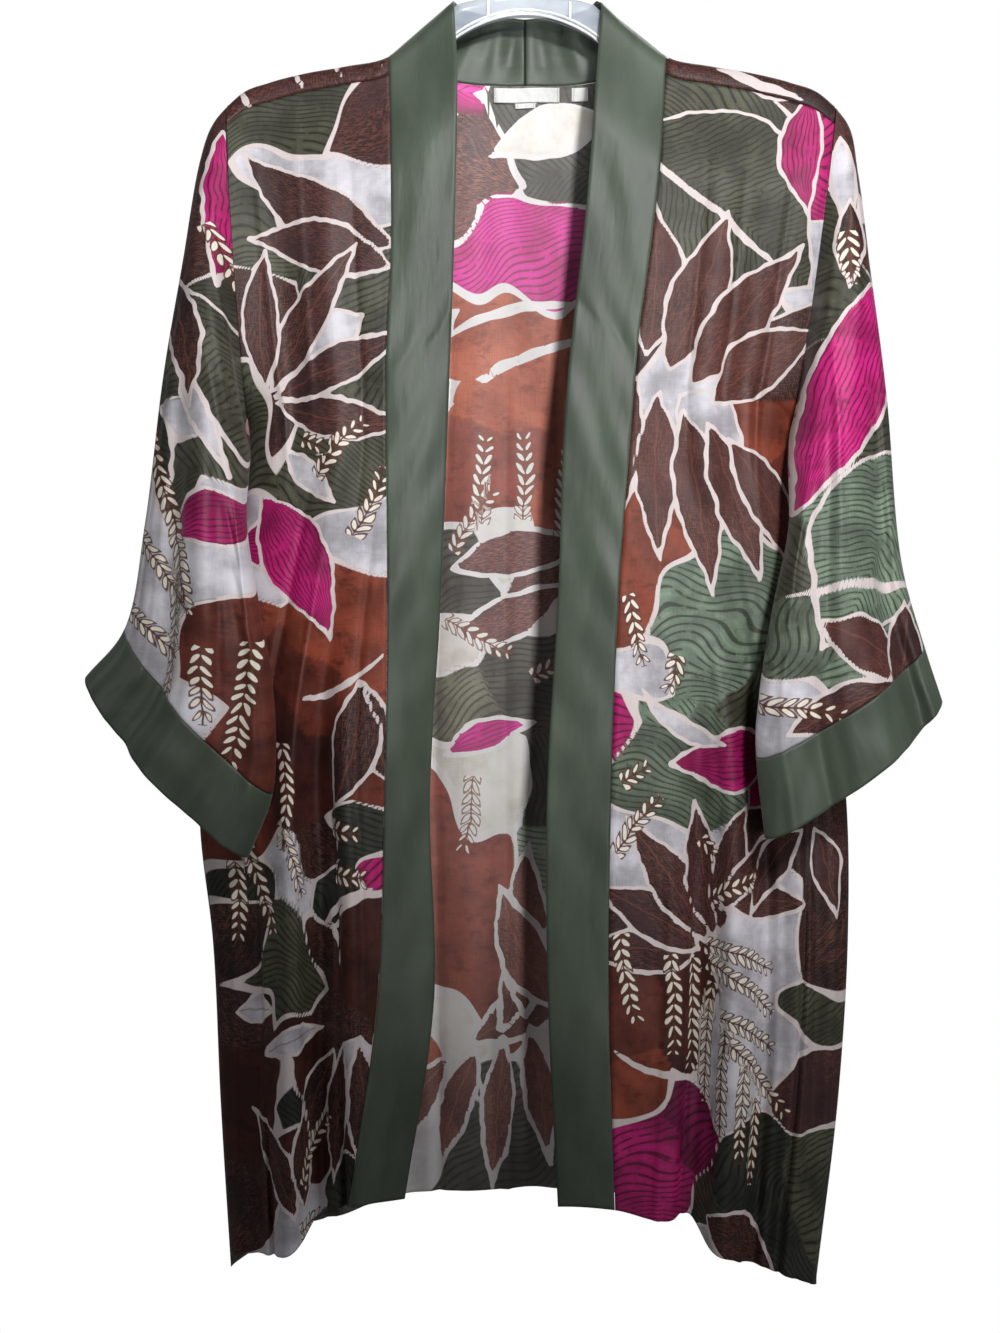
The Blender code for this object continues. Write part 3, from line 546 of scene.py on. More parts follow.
@dataclass
class Print:
    """The print of one panel: patches below, two layers of leaves above them, and sprigs on top.

    The slack widens every outline a little, so that it stays whole between the grid's points.
    """
    patches: list[Patch]
    lower: list[Leaf] = field(default_factory=list)
    upper: list[Leaf] = field(default_factory=list)
    palms: list[Palm] = field(default_factory=list)
    sprigs: list[Sprig] = field(default_factory=list)
    seed: int = 1
    slack: float = 0.0004

    def palm_leaves(self) -> list[Leaf]:
        """The leaves of each palm: set along its stem, fanned about its turn, outer ones shorter."""
        leaves = []
        for palm in self.palms:
            run = np.radians(palm.stem_turn)
            for number, share in enumerate(np.linspace(-1.0, 1.0, palm.count)):
                turn = palm.turn + palm.spread / 2.0 * share
                length = palm.length * (1.0 - 0.16 * share ** 2 - 0.08 * (number % 2))
                slide = palm.stem * (share + 1.0) / 2.0
                x = palm.x + slide * np.cos(run) + 0.004 * np.cos(np.radians(turn))
                z = palm.z + slide * np.sin(run) + 0.004 * np.sin(np.radians(turn))
                leaves.append(Leaf(x, z, turn, length, palm.width, 0.05 * share, palm.ink))
        return leaves

    @staticmethod
    def leaf_layer(leaves: Sequence[Leaf], a: np.ndarray,
                   b: np.ndarray) -> tuple[np.ndarray, np.ndarray, np.ndarray]:
        """How deep inside the leaves each point lies, where in the topmost one, and in which ink.

        In a leaf's own frame s runs from its base and t across it, less a bow of bend s (1 - s). The
        half width at s is a power of the sine of s. Depth is the half width less the distance from
        the midrib, over the slope's length; past the ends it is minus the distance to the end. Each
        leaf covers those before it, and the edge is the distance to the nearest outline left in sight.

        Args:
            leaves: the leaves, the lowest first.
            a: place across the flat cloth.
            b: place up it.

        Returns:
            Arrays of depth, line coordinate and place across; of ink channels; and of the edge.
        """
        union, edge = np.full(a.shape, -1.0), np.full(a.shape, 1.0)
        nearest = np.full(a.shape, -1.0)
        place = np.zeros(a.shape + (2,))
        ink = np.zeros(a.shape + (4,))
        for leaf in leaves:
            turn = np.radians(leaf.turn)
            da, db = a - leaf.x, b - leaf.z
            s = (da * np.cos(turn) + db * np.sin(turn)) / leaf.length
            inside = np.clip(s, 0.0, 1.0)
            bow = 4.0 * leaf.bend * leaf.length * inside * (1.0 - inside)
            t = -da * np.sin(turn) + db * np.cos(turn) - bow
            phase = PI * inside ** 0.86
            half = leaf.width / 2.0 * np.sin(phase) ** 1.12
            slope = leaf.width / leaf.length * 1.5 * np.abs(np.cos(phase))
            depth = np.where((s >= 0.0) & (s <= 1.0), (half - np.abs(t)) / np.hypot(1.0, slope),
                             -np.hypot((s - inside) * leaf.length, t))
            edge = np.where(depth > 0.0, depth, np.minimum(edge, -depth))
            union = np.maximum(union, depth)
            over = (depth > 0.0) | (depth > nearest)
            nearest = np.where(depth > 0.0, 0.0, np.maximum(nearest, depth))
            if FAMILIES[leaf.ink] == FAMILIES["magenta"]:
                line = 1.25 * t / np.maximum(half / leaf.width * 2.0, 0.25)
            else:
                line = s * leaf.length - 0.8 * np.abs(t) + 3.0 * t ** 2
            place = np.where(over[..., None], np.stack([line, t], -1), place)
            ink = np.where(over[..., None], INKS[leaf.ink].channels(), ink)
        return np.concatenate([union[..., None], place], -1), ink, edge[..., None]

    def patch_layer(self, a: np.ndarray, b: np.ndarray) -> tuple[np.ndarray, np.ndarray]:
        """The patch that each point of the flat cloth lies in, and how deep.

        A point belongs to the patch whose middle is nearest, less its reach, once the cloth's own
        coordinates are bent by soft waves. Depth is half the difference to the nearest one of another
        family of inks, so that like colours run into each other without an outline.
        """
        a2 = a + PATCH_WAVE * uneven(self.seed, a, b, PATCH_WAVE_LENGTH)
        b2 = b + PATCH_WAVE * uneven(self.seed + 50, a, b, PATCH_WAVE_LENGTH)
        first, second = np.full(a.shape, 9.0), np.full(a.shape, 9.0)
        line, along = np.zeros(a.shape), np.zeros(a.shape)
        kind = np.full(a.shape, -1)
        ink = np.zeros(a.shape + (4,))
        for number, patch in enumerate(self.patches):
            distance = np.hypot(a2 - patch.x, (b2 - patch.z) * 1.1) - patch.reach
            nearer = distance < first
            other_kind = kind != FAMILIES[patch.ink]
            second = np.where(nearer, np.where(other_kind, first, second),
                              np.where(other_kind, np.minimum(second, distance), second))
            kind = np.where(nearer, FAMILIES[patch.ink], kind)
            first = np.where(nearer, distance, first)
            turn = 0.9 * np.sin(number * 2.4 + self.seed)
            curve = (a2 - patch.x) * np.cos(turn) + (b2 - patch.z) * np.sin(turn)
            other = -(a2 - patch.x) * np.sin(turn) + (b2 - patch.z) * np.cos(turn)
            line = np.where(nearer, other + 3.0 * curve ** 2, line)
            along = np.where(nearer, curve, along)
            ink = np.where(nearer[..., None], INKS[patch.ink].channels(), ink)
        return np.stack([(second - first) / 2.0 - self.slack, line, along], -1), ink

    def sprig_layer(self, a: np.ndarray, b: np.ndarray) -> np.ndarray:
        """Place along and across the nearest sprig's bowed stem, what is left of it, and nearness."""
        best = np.full(a.shape, 9.0)
        place = np.zeros(a.shape + (4,))
        place[..., 1], place[..., 3] = 1.0, -1.0
        for sprig in self.sprigs:
            turn = np.radians(sprig.turn)
            da, db = a - sprig.x, b - sprig.z
            s = da * np.cos(turn) + db * np.sin(turn)
            share = np.clip(s / sprig.length, -0.1, 1.1)
            bow = 4.0 * sprig.bend * sprig.length * share * (1.0 - share)
            t = -da * np.sin(turn) + db * np.cos(turn) - bow
            beyond = np.maximum(np.maximum(-s, s - sprig.length), 0.0)
            distance = np.hypot(beyond, t)
            nearer = distance < best
            best = np.where(nearer, distance, best)
            here = np.stack([s, t, sprig.length - s, SPRIG_REACH - distance], -1)
            place = np.where(nearer[..., None], here, place)
        return place

    def attributes(self, a: np.ndarray, b: np.ndarray) -> dict[str, np.ndarray]:
        """Every attribute that the cloth's material reads.

        Args:
            a: place across the flat cloth, in metres.
            b: place up it, in metres.

        Returns:
            A name for each array; those with four channels are colours.
        """
        ground, ground_ink = self.patch_layer(a, b)
        wavy_a = a + LEAF_WAVE * uneven(self.seed + 7, a, b, LEAF_WAVE_LENGTH)
        wavy_b = b + LEAF_WAVE * uneven(self.seed + 9, a, b, LEAF_WAVE_LENGTH)
        low, low_ink, low_edge = self.leaf_layer(self.lower, wavy_a, wavy_b)
        top, top_ink, top_edge = self.leaf_layer(self.palm_leaves() + self.upper, wavy_a, wavy_b)
        cloth = np.stack([a, b, np.zeros_like(a)], -1)
        return {"ground": ground, "ground_ink": ground_ink, "cloth": cloth,
                "low": low, "low_ink": low_ink, "low_edge": low_edge - self.slack,
                "top": top, "top_ink": top_ink, "top_edge": top_edge - self.slack,
                "sprig": self.sprig_layer(wavy_a, wavy_b)}


PRINTS = {
    "front_left": Print(
        seed=3,
        patches=[
            Patch(-0.180, -0.150, "green", 0.030), Patch(-0.118, -0.165, "brown", 0.005),
            Patch(-0.165, -0.232, "pale", 0.005), Patch(-0.112, -0.205, "pale", -0.010),
            Patch(-0.195, -0.255, "green", 0.004), Patch(-0.128, -0.300, "green", 0.010),
            Patch(-0.150, -0.330, "pale", 0.000), Patch(-0.120, -0.352, "green", 0.000),
            Patch(-0.212, -0.320, "umber", 0.004), Patch(-0.150, -0.425, "green", 0.020),
            Patch(-0.120, -0.480, "pale", 0.016), Patch(-0.214, -0.505, "pale", 0.014),
            Patch(-0.190, -0.410, "umber", 0.000), Patch(-0.225, -0.420, "green", 0.000),
            Patch(-0.215, -0.560, "rust", -0.004), Patch(-0.135, -0.560, "rust", 0.030),
            Patch(-0.170, -0.600, "russet", 0.024), Patch(-0.205, -0.640, "mahogany", 0.016),
            Patch(-0.125, -0.655, "russet", 0.010), Patch(-0.175, -0.670, "mahogany", 0.014),
            # From here down the lower left takes the darkest inks, coal, mahogany, umber and dark green:
            # partly print and partly painted shade that darkens this part towards the hem.
            Patch(-0.168, -0.720, "coal", 0.006), Patch(-0.135, -0.712, "dark_green", 0.008),
            Patch(-0.142, -0.755, "dark_green", 0.006), Patch(-0.114, -0.735, "magenta", -0.010),
            Patch(-0.115, -0.775, "mahogany", 0.004), Patch(-0.214, -0.735, "pale", 0.012),
            Patch(-0.190, -0.756, "pale", 0.000), Patch(-0.240, -0.700, "russet", 0.006),
            Patch(-0.238, -0.745, "dark_green", 0.002), Patch(-0.256, -0.790, "coal", 0.002),
            Patch(-0.212, -0.815, "green", 0.030), Patch(-0.160, -0.800, "coal", 0.012),
            Patch(-0.128, -0.805, "mahogany", 0.016), Patch(-0.245, -0.840, "umber", 0.006),
            Patch(-0.200, -0.870, "mahogany", 0.010), Patch(-0.130, -0.850, "umber", 0.014),
            Patch(-0.165, -0.860, "coal", 0.010), Patch(-0.228, -0.902, "dark_green", 0.008),
            Patch(-0.240, -0.900, "mahogany", 0.012), Patch(-0.200, -0.950, "mahogany", 0.016),
            Patch(-0.165, -0.930, "coal", 0.008), Patch(-0.120, -0.920, "mahogany", 0.010),
            Patch(-0.140, -0.985, "dark_green", 0.008), Patch(-0.235, -0.985, "umber", 0.008),
            Patch(-0.205, -1.005, "pale", 0.020),
        ],
        lower=[
            Leaf(-0.098, -0.268, 149, 0.140, 0.046, 0.07, "brown"),
            Leaf(-0.100, -0.285, 168, 0.115, 0.040, -0.05, "brown"),
            Leaf(-0.188, -0.420, 318, 0.060, 0.020, 0.00, "pale"),
            Leaf(-0.170, -0.480, 190, 0.062, 0.046, 0.08, "magenta"),
            Leaf(-0.208, -0.455, 299, 0.122, 0.056, 0.05, "magenta"),
            Leaf(-0.190, -0.360, 30, 0.080, 0.052, 0.00, "pale"),
            Leaf(-0.124, -0.856, 262, 0.060, 0.050, 0.00, "pale"),
            Leaf(-0.182, -0.607, 24, 0.084, 0.003, -0.10, "pale"),
        ],
        upper=[
            Leaf(-0.122, -0.594, 290, 0.085, 0.034, -0.06, "umber"),
            Leaf(-0.125, -0.594, 256, 0.098, 0.040, 0.08, "umber"),
            Leaf(-0.166, -0.775, 28, 0.060, 0.003, 0.10, "pale"),
            Leaf(-0.160, -0.770, 290, 0.040, 0.003, 0.06, "pale"),
            Leaf(-0.238, -0.872, 16, 0.072, 0.020, 0.05, "pale"),
            Leaf(-0.272, -0.842, 6, 0.042, 0.022, 0.05, "pale"),
        ],
        palms=[
            Palm(-0.200, -0.384, 40, 96, 4, 0.136, 0.032, "brown", 0.008, 120),
            Palm(-0.152, -0.864, 268, 54, 4, 0.118, 0.030, "umber", 0.040, 18),
            Palm(-0.215, -0.995, 100, -36, 2, 0.105, 0.030, "umber", 0.012, 20),
        ],
        sprigs=[
            Sprig(-0.160, -0.440, 46, 0.060, 0.05), Sprig(-0.128, -0.484, 66, 0.056, -0.05),
            Sprig(-0.172, -0.412, 340, 0.022, 0.0),
            Sprig(-0.206, -0.640, 264, 0.080, 0.05), Sprig(-0.250, -0.700, 283, 0.085, -0.05),
            Sprig(-0.152, -0.702, 350, 0.030, 0.0),
            Sprig(-0.152, -0.736, 352, 0.036, 0.0), Sprig(-0.204, -0.968, 52, 0.066, 0.05),
            Sprig(-0.210, -1.002, 12, 0.048, 0.0), Sprig(-0.212, -0.704, 288, 0.052, 0.0),
            Sprig(-0.262, -0.730, 262, 0.060, 0.0), Sprig(-0.212, -1.022, 8, 0.040, 0.0),
        ],
    ),
    "front_right": Print(
        seed=5,
        patches=[
            Patch(0.125, -0.200, "green", 0.060), Patch(0.200, -0.140, "umber", 0.006),
            Patch(0.224, -0.205, "magenta", 0.006), Patch(0.222, -0.275, "pale", -0.004),
            Patch(0.176, -0.300, "green", 0.006), Patch(0.120, -0.375, "pale", 0.000),
            Patch(0.090, -0.320, "umber", 0.006), Patch(0.200, -0.350, "umber", 0.010),
            Patch(0.185, -0.400, "rust", 0.012), Patch(0.205, -0.440, "russet", 0.008),
            Patch(0.084, -0.520, "rust", 0.016), Patch(0.150, -0.555, "mint", 0.034),
            Patch(0.100, -0.575, "pale", -0.002), Patch(0.120, -0.620, "mint", 0.000),
            Patch(0.185, -0.590, "green", 0.010), Patch(0.080, -0.628, "magenta", -0.006),
            Patch(0.135, -0.655, "sage", 0.030), Patch(0.085, -0.720, "pale", 0.008),
            Patch(0.175, -0.640, "magenta", 0.000), Patch(0.205, -0.660, "magenta", 0.008),
            Patch(0.150, -0.715, "pale", -0.004), Patch(0.080, -0.772, "umber", 0.006),
            Patch(0.195, -0.725, "umber", 0.012), Patch(0.120, -0.810, "mahogany", 0.018),
            Patch(0.210, -0.785, "pale", 0.026), Patch(0.170, -0.800, "pale", 0.004),
            Patch(0.085, -0.850, "russet", 0.018), Patch(0.130, -0.850, "mahogany", 0.014),
            Patch(0.200, -0.860, "pale", 0.034), Patch(0.085, -0.895, "rust", 0.012),
            Patch(0.252, -0.830, "green", -0.004), Patch(0.256, -0.900, "brown", -0.004),
            Patch(0.100, -0.955, "magenta", 0.026), Patch(0.140, -0.925, "plum", 0.014),
            Patch(0.160, -0.985, "green", 0.018), Patch(0.205, -0.965, "dark_green", 0.020),
            Patch(0.255, -0.720, "umber", 0.008), Patch(0.195, -1.030, "dark_green", 0.010),
            Patch(0.245, -0.640, "umber", 0.010), Patch(0.258, -0.775, "coal", 0.000),
            Patch(0.250, -0.960, "green", 0.000),
        ],
        lower=[
            Leaf(0.070, -0.185, 324, 0.195, 0.150, 0.02, "green"),
            Leaf(0.090, -0.200, 322, 0.130, 0.003, 0.00, "pale"),
            Leaf(0.222, -0.645, 184, 0.110, 0.046, 0.03, "magenta"),
            Leaf(0.066, -0.868, 346, 0.085, 0.003, -0.08, "pale"),
            Leaf(0.132, -1.000, 340, 0.090, 0.016, 0.05, "pale"),
            Leaf(0.160, -0.990, 328, 0.095, 0.040, 0.05, "umber"),
            Leaf(0.118, -0.380, 320, 0.075, 0.050, 0.00, "pale"),
            Leaf(0.160, -0.640, 150, 0.080, 0.014, 0.10, "pale"),
            Leaf(0.078, -0.275, 334, 0.090, 0.007, 0.00, "pale"),
            Leaf(0.218, -0.150, 158, 0.075, 0.022, 0.06, "umber"),
            Leaf(0.222, -0.150, 268, 0.095, 0.036, -0.10, "magenta"),
        ],
        palms=[
            Palm(0.092, -0.354, 60, -58, 4, 0.140, 0.046, "chestnut", 0.060, 326),
            Palm(0.084, -0.362, 281, 38, 5, 0.142, 0.036, "chestnut", 0.088, 328),
            Palm(0.142, -0.798, 128, -100, 5, 0.120, 0.036, "brown", 0.026, 30),
            Palm(0.160, -0.765, 22, -44, 2, 0.100, 0.030, "brown", 0.014, 20),
            Palm(0.248, -0.700, 262, 60, 2, 0.095, 0.028, "brown", 0.010, 0),
        ],
        sprigs=[
            Sprig(0.150, -0.790, 345, 0.080, 0.05), Sprig(0.152, -0.802, 333, 0.090, 0.05),
            Sprig(0.172, -0.842, 336, 0.070, 0.05), Sprig(0.182, -0.862, 318, 0.085, 0.05),
            Sprig(0.214, -0.905, 264, 0.065, 0.04), Sprig(0.198, -0.880, 266, 0.072, -0.04),
            Sprig(0.178, -0.852, 266, 0.080, -0.03), Sprig(0.158, -0.818, 264, 0.090, -0.03),
            Sprig(0.137, -0.800, 268, 0.085, 0.03), Sprig(0.112, -0.796, 271, 0.075, 0.03),
            Sprig(0.072, -0.780, 282, 0.072, -0.05), Sprig(0.068, -0.720, 48, 0.056, 0.03),
            Sprig(0.158, -0.754, 16, 0.046, 0.05), Sprig(0.078, -0.530, 285, 0.055, 0.0),
            Sprig(0.120, -0.575, 250, 0.030, 0.04), Sprig(0.074, -0.668, 30, 0.026, 0.0),
            Sprig(0.142, -0.712, 320, 0.022, 0.0),
        ],
    ),
    "back": Print(
        seed=8,
        slack=0.0012,
        patches=[
            Patch(-0.040, -0.180, "umber", 0.010), Patch(0.030, -0.150, "dark_green", 0.028),
            Patch(-0.062, -0.136, "magenta", 0.004), Patch(0.000, -0.268, "magenta", 0.034),
            Patch(-0.064, -0.235, "brown", 0.002), Patch(0.030, -0.212, "dark_green", 0.006),
            Patch(-0.010, -0.345, "rust", 0.036),
            Patch(0.040, -0.350, "russet", 0.020), Patch(-0.030, -0.425, "russet", 0.022),
            Patch(0.040, -0.440, "rust", 0.020), Patch(-0.010, -0.482, "cream", 0.000),
            Patch(-0.040, -0.515, "dark_green", -0.002), Patch(0.030, -0.505, "brown", 0.006),
            Patch(-0.050, -0.560, "cream", 0.006), Patch(0.020, -0.540, "cream", 0.000),
            Patch(0.010, -0.600, "dark_green", 0.024), Patch(-0.050, -0.610, "green", 0.000),
            Patch(0.030, -0.655, "dark_green", 0.020), Patch(-0.030, -0.680, "cream", 0.004),
            Patch(0.020, -0.730, "mint", 0.012), Patch(-0.045, -0.740, "russet", 0.030),
            Patch(0.002, -0.835, "cream", 0.000), Patch(0.045, -0.800, "brown", 0.006),
            Patch(-0.060, -0.860, "cream", 0.000), Patch(0.000, -0.965, "dark_green", 0.034),
            Patch(0.045, -0.900, "cream", 0.000), Patch(-0.070, -0.950, "pale", -0.006),
            Patch(-0.030, -0.830, "russet", 0.016),
            Patch(-0.120, -0.125, "brown", 0.022), Patch(-0.180, -0.135, "brown", 0.030),
            Patch(-0.235, -0.150, "brown", 0.022), Patch(0.130, -0.125, "umber", 0.030),
            Patch(0.200, -0.140, "umber", 0.030), Patch(-0.150, -0.215, "green", 0.020),
            Patch(0.150, -0.215, "sage", 0.016),
            Patch(-0.120, -0.260, "pale", 0.000), Patch(0.130, -0.280, "green", 0.030),
            Patch(-0.180, -0.330, "russet", 0.020), Patch(0.190, -0.360, "pale", 0.000),
            Patch(-0.130, -0.420, "sage", 0.020), Patch(0.120, -0.430, "magenta", 0.010),
            Patch(-0.190, -0.500, "magenta", 0.010), Patch(0.180, -0.500, "green", 0.020),
            Patch(-0.130, -0.600, "pale", 0.000), Patch(0.120, -0.590, "pale", 0.010),
            Patch(-0.190, -0.680, "brown", 0.020), Patch(0.190, -0.650, "rust", 0.020),
            Patch(-0.130, -0.760, "green", 0.020), Patch(0.120, -0.720, "russet", 0.010),
            Patch(-0.200, -0.830, "pale", 0.010), Patch(0.190, -0.800, "sage", 0.020),
            Patch(-0.130, -0.900, "rust", 0.020), Patch(0.120, -0.860, "pale", 0.010),
            Patch(-0.200, -0.970, "dark_green", 0.010), Patch(0.200, -0.930, "brown", 0.020),
            Patch(0.110, -0.980, "green", 0.020), Patch(-0.250, -0.600, "green", 0.010),
            Patch(0.260, -0.560, "brown", 0.010), Patch(-0.260, -0.760, "russet", 0.010),
            Patch(0.265, -0.730, "pale", 0.000), Patch(0.265, -0.890, "green", 0.010),
            Patch(-0.265, -0.920, "green", 0.010),
        ],
        lower=[
            Leaf(-0.240, -0.142, 300, 0.024, 0.002, 0.0, "pale"),
            Leaf(-0.200, -0.122, 300, 0.026, 0.002, 0.0, "pale"),
            Leaf(-0.170, -0.116, 300, 0.024, 0.002, 0.0, "pale"),
            Leaf(-0.138, -0.108, 300, 0.026, 0.002, 0.0, "pale"),
            Leaf(-0.113, -0.104, 300, 0.024, 0.002, 0.0, "pale"),
            Leaf(0.165, -0.130, 340, 0.070, 0.006, 0.0, "pale"),
            Leaf(0.064, -0.160, 196, 0.096, 0.040, -0.04, "cream"),
            Leaf(-0.062, -0.508, 8, 0.125, 0.036, 0.06, "brown"),
            Leaf(-0.062, -0.560, 24, 0.110, 0.034, -0.05, "brown"),
            Leaf(-0.068, -0.650, 18, 0.080, 0.026, 0.05, "magenta"),
            Leaf(-0.072, -0.330, 12, 0.130, 0.006, 0.08, "cream"),
            Leaf(-0.066, -0.385, 22, 0.150, 0.006, 0.10, "cream"),
            Leaf(0.060, -0.640, 250, 0.120, 0.040, 0.05, "mint"),
            Leaf(-0.210, -0.250, 320, 0.150, 0.055, 0.08, "magenta"),
            Leaf(0.110, -0.230, 350, 0.150, 0.050, -0.08, "brown"),
            Leaf(0.150, -0.520, 250, 0.160, 0.060, 0.08, "magenta"),
            Leaf(-0.210, -0.560, 300, 0.150, 0.055, 0.06, "sage"),
            Leaf(-0.100, -0.870, 200, 0.130, 0.050, 0.06, "magenta"),
            Leaf(0.230, -0.900, 210, 0.130, 0.050, 0.06, "dark_green"),
        ],
        palms=[
            Palm(-0.050, -0.876, 76, 80, 4, 0.140, 0.042, "chestnut", 0.080, 18),
            Palm(-0.060, -0.880, 272, 70, 6, 0.120, 0.028, "chestnut", 0.110, 18),
            Palm(-0.172, -0.355, 50, -56, 4, 0.120, 0.040, "brown", 0.060, 312),
            Palm(-0.180, -0.362, 266, 40, 4, 0.125, 0.034, "brown", 0.080, 312),
            Palm(0.190, -0.290, 122, 56, 4, 0.125, 0.040, "chestnut", 0.060, 218),
            Palm(0.198, -0.298, 262, -40, 5, 0.125, 0.034, "chestnut", 0.086, 218),
            Palm(-0.130, -0.690, 126, 56, 4, 0.110, 0.036, "umber", 0.056, 222),
            Palm(-0.122, -0.698, 266, -40, 4, 0.118, 0.032, "umber", 0.078, 222),
            Palm(0.130, -0.760, 54, -58, 4, 0.120, 0.040, "brown", 0.060, 320),
            Palm(0.122, -0.768, 274, 40, 4, 0.125, 0.034, "brown", 0.080, 320),
        ],
        sprigs=[
            Sprig(0.108, -0.114, 352, 0.120, 0.02), Sprig(-0.038, -0.470, 84, 0.072, 0.03),
            Sprig(-0.002, -0.468, 90, 0.070, -0.03),
            Sprig(0.030, -0.480, 85, 0.070, 0.03), Sprig(-0.060, -0.492, 55, 0.060, 0.03),
            Sprig(-0.066, -0.545, 334, 0.062, -0.04), Sprig(0.006, -0.590, 30, 0.034, 0.0),
            Sprig(-0.044, -0.668, 262, 0.060, 0.03), Sprig(-0.024, -0.152, 10, 0.042, 0.05),
            Sprig(-0.150, -0.560, 285, 0.090, 0.04), Sprig(-0.120, -0.560, 270, 0.090, 0.04),
            Sprig(-0.180, -0.560, 300, 0.080, 0.04), Sprig(0.120, -0.560, 255, 0.090, 0.04),
            Sprig(0.150, -0.590, 275, 0.090, 0.04), Sprig(0.100, -0.860, 270, 0.090, 0.04),
            Sprig(0.130, -0.860, 285, 0.090, 0.04), Sprig(-0.200, -0.820, 270, 0.090, 0.04),
            Sprig(-0.170, -0.830, 255, 0.080, 0.04), Sprig(0.100, -0.300, 60, 0.080, 0.04),
        ],
    ),
    "sleeve_left": Print(
        seed=12,
        patches=[
            Patch(-0.245, -0.205, "brown", 0.004), Patch(-0.225, -0.240, "umber", 0.000),
            Patch(-0.262, -0.300, "umber", 0.004), Patch(-0.225, -0.330, "green", 0.014),
            Patch(-0.266, -0.360, "green", 0.006), Patch(-0.222, -0.420, "green", 0.010),
            Patch(-0.245, -0.405, "pale", -0.004), Patch(-0.270, -0.420, "umber", 0.000),
            Patch(-0.284, -0.470, "pale", 0.016), Patch(-0.235, -0.465, "green", 0.000),
            Patch(-0.205, -0.470, "pale", 0.000), Patch(-0.285, -0.545, "pale", 0.030),
            Patch(-0.240, -0.520, "pale", 0.010), Patch(-0.212, -0.575, "russet", 0.018),
            Patch(-0.250, -0.620, "pale", 0.000), Patch(-0.196, -0.640, "russet", 0.006),
            Patch(-0.280, -0.510, "brown", -0.012),
            Patch(-0.330, -0.300, "green", 0.020), Patch(-0.380, -0.380, "brown", 0.020),
            Patch(-0.340, -0.450, "magenta", 0.010), Patch(-0.420, -0.480, "pale", 0.020),
            Patch(-0.360, -0.540, "green", 0.020), Patch(-0.440, -0.580, "russet", 0.020),
            Patch(-0.300, -0.230, "magenta", 0.000), Patch(-0.400, -0.250, "pale", 0.000),
            Patch(-0.460, -0.350, "sage", 0.020),
        ],
        lower=[
            Leaf(-0.227, -0.185, 270, 0.120, 0.032, 0.03, "magenta"),
            Leaf(-0.248, -0.310, 292, 0.150, 0.050, 0.05, "green"),
            Leaf(-0.195, -0.462, 200, 0.062, 0.040, 0.06, "magenta"),
            Leaf(-0.252, -0.360, 295, 0.090, 0.014, 0.00, "pale"),
            Leaf(-0.380, -0.300, 280, 0.150, 0.055, 0.08, "sage"),
            Leaf(-0.410, -0.440, 300, 0.130, 0.050, 0.06, "brown"),
        ],
        upper=[
            Leaf(-0.266, -0.290, 284, 0.110, 0.026, 0.05, "umber"),
            Leaf(-0.275, -0.385, 280, 0.090, 0.024, 0.05, "dark_green"),
            Leaf(-0.340, -0.330, 240, 0.110, 0.034, 0.05, "brown"),
        ],
        sprigs=[
            Sprig(-0.236, -0.262, 300, 0.056, 0.05), Sprig(-0.280, -0.405, 288, 0.150, 0.05),
            Sprig(-0.292, -0.478, 312, 0.085, 0.05), Sprig(-0.243, -0.515, 262, 0.120, 0.03),
            Sprig(-0.222, -0.568, 270, 0.055, -0.03), Sprig(-0.298, -0.538, 326, 0.070, 0.05),
            Sprig(-0.196, -0.560, 262, 0.095, 0.03), Sprig(-0.420, -0.430, 290, 0.110, 0.05),
            Sprig(-0.450, -0.440, 280, 0.110, 0.05), Sprig(-0.385, -0.500, 300, 0.090, 0.05),
        ],
    ),
    "sleeve_right": Print(
        seed=15,
        patches=[
            Patch(0.246, -0.200, "brown", 0.004), Patch(0.226, -0.250, "green", 0.010),
            Patch(0.252, -0.262, "umber", 0.000), Patch(0.228, -0.320, "green", 0.006),
            Patch(0.250, -0.345, "fuchsia", 0.014), Patch(0.208, -0.360, "umber", 0.002),
            Patch(0.200, -0.450, "fuchsia", 0.004), Patch(0.264, -0.415, "green", 0.010),
            Patch(0.268, -0.380, "pale", -0.006), Patch(0.205, -0.500, "green", 0.012),
            Patch(0.190, -0.560, "sage", 0.012), Patch(0.245, -0.495, "mint", 0.030),
            Patch(0.215, -0.590, "mint", 0.012), Patch(0.268, -0.575, "mint", 0.006),
            Patch(0.182, -0.615, "pale", 0.010), Patch(0.225, -0.630, "pale", 0.004),
            Patch(0.262, -0.620, "pale", 0.000),
            Patch(0.340, -0.300, "green", 0.020), Patch(0.390, -0.380, "brown", 0.020),
            Patch(0.350, -0.450, "pale", 0.010), Patch(0.430, -0.480, "magenta", 0.020),
            Patch(0.370, -0.540, "green", 0.020), Patch(0.450, -0.580, "russet", 0.020),
            Patch(0.310, -0.230, "rust", 0.000), Patch(0.410, -0.250, "pale", 0.000),
            Patch(0.470, -0.350, "sage", 0.020),
        ],
        lower=[
            Leaf(0.268, -0.295, 247, 0.190, 0.058, 0.02, "fuchsia"),
            Leaf(0.236, -0.190, 272, 0.080, 0.018, 0.00, "pale"),
            Leaf(0.290, -0.420, 240, 0.170, 0.105, 0.03, "mint"),
            Leaf(0.188, -0.527, 3, 0.100, 0.004, 0.00, "pale"),
            Leaf(0.390, -0.300, 260, 0.150, 0.055, 0.08, "sage"),
            Leaf(0.420, -0.440, 240, 0.130, 0.050, 0.06, "magenta"),
        ],
        upper=[
            Leaf(0.240, -0.240, 266, 0.070, 0.020, 0.03, "umber"),
            Leaf(0.258, -0.265, 285, 0.060, 0.020, 0.03, "brown"),
            Leaf(0.205, -0.548, 322, 0.082, 0.036, 0.06, "chestnut"),
            Leaf(0.272, -0.535, 262, 0.095, 0.034, 0.04, "brown"),
            Leaf(0.188, -0.625, 24, 0.080, 0.030, 0.04, "brown"),
        ],
        palms=[Palm(0.385, -0.420, 90, 160, 5, 0.110, 0.034, "brown", 0.02, 0)],
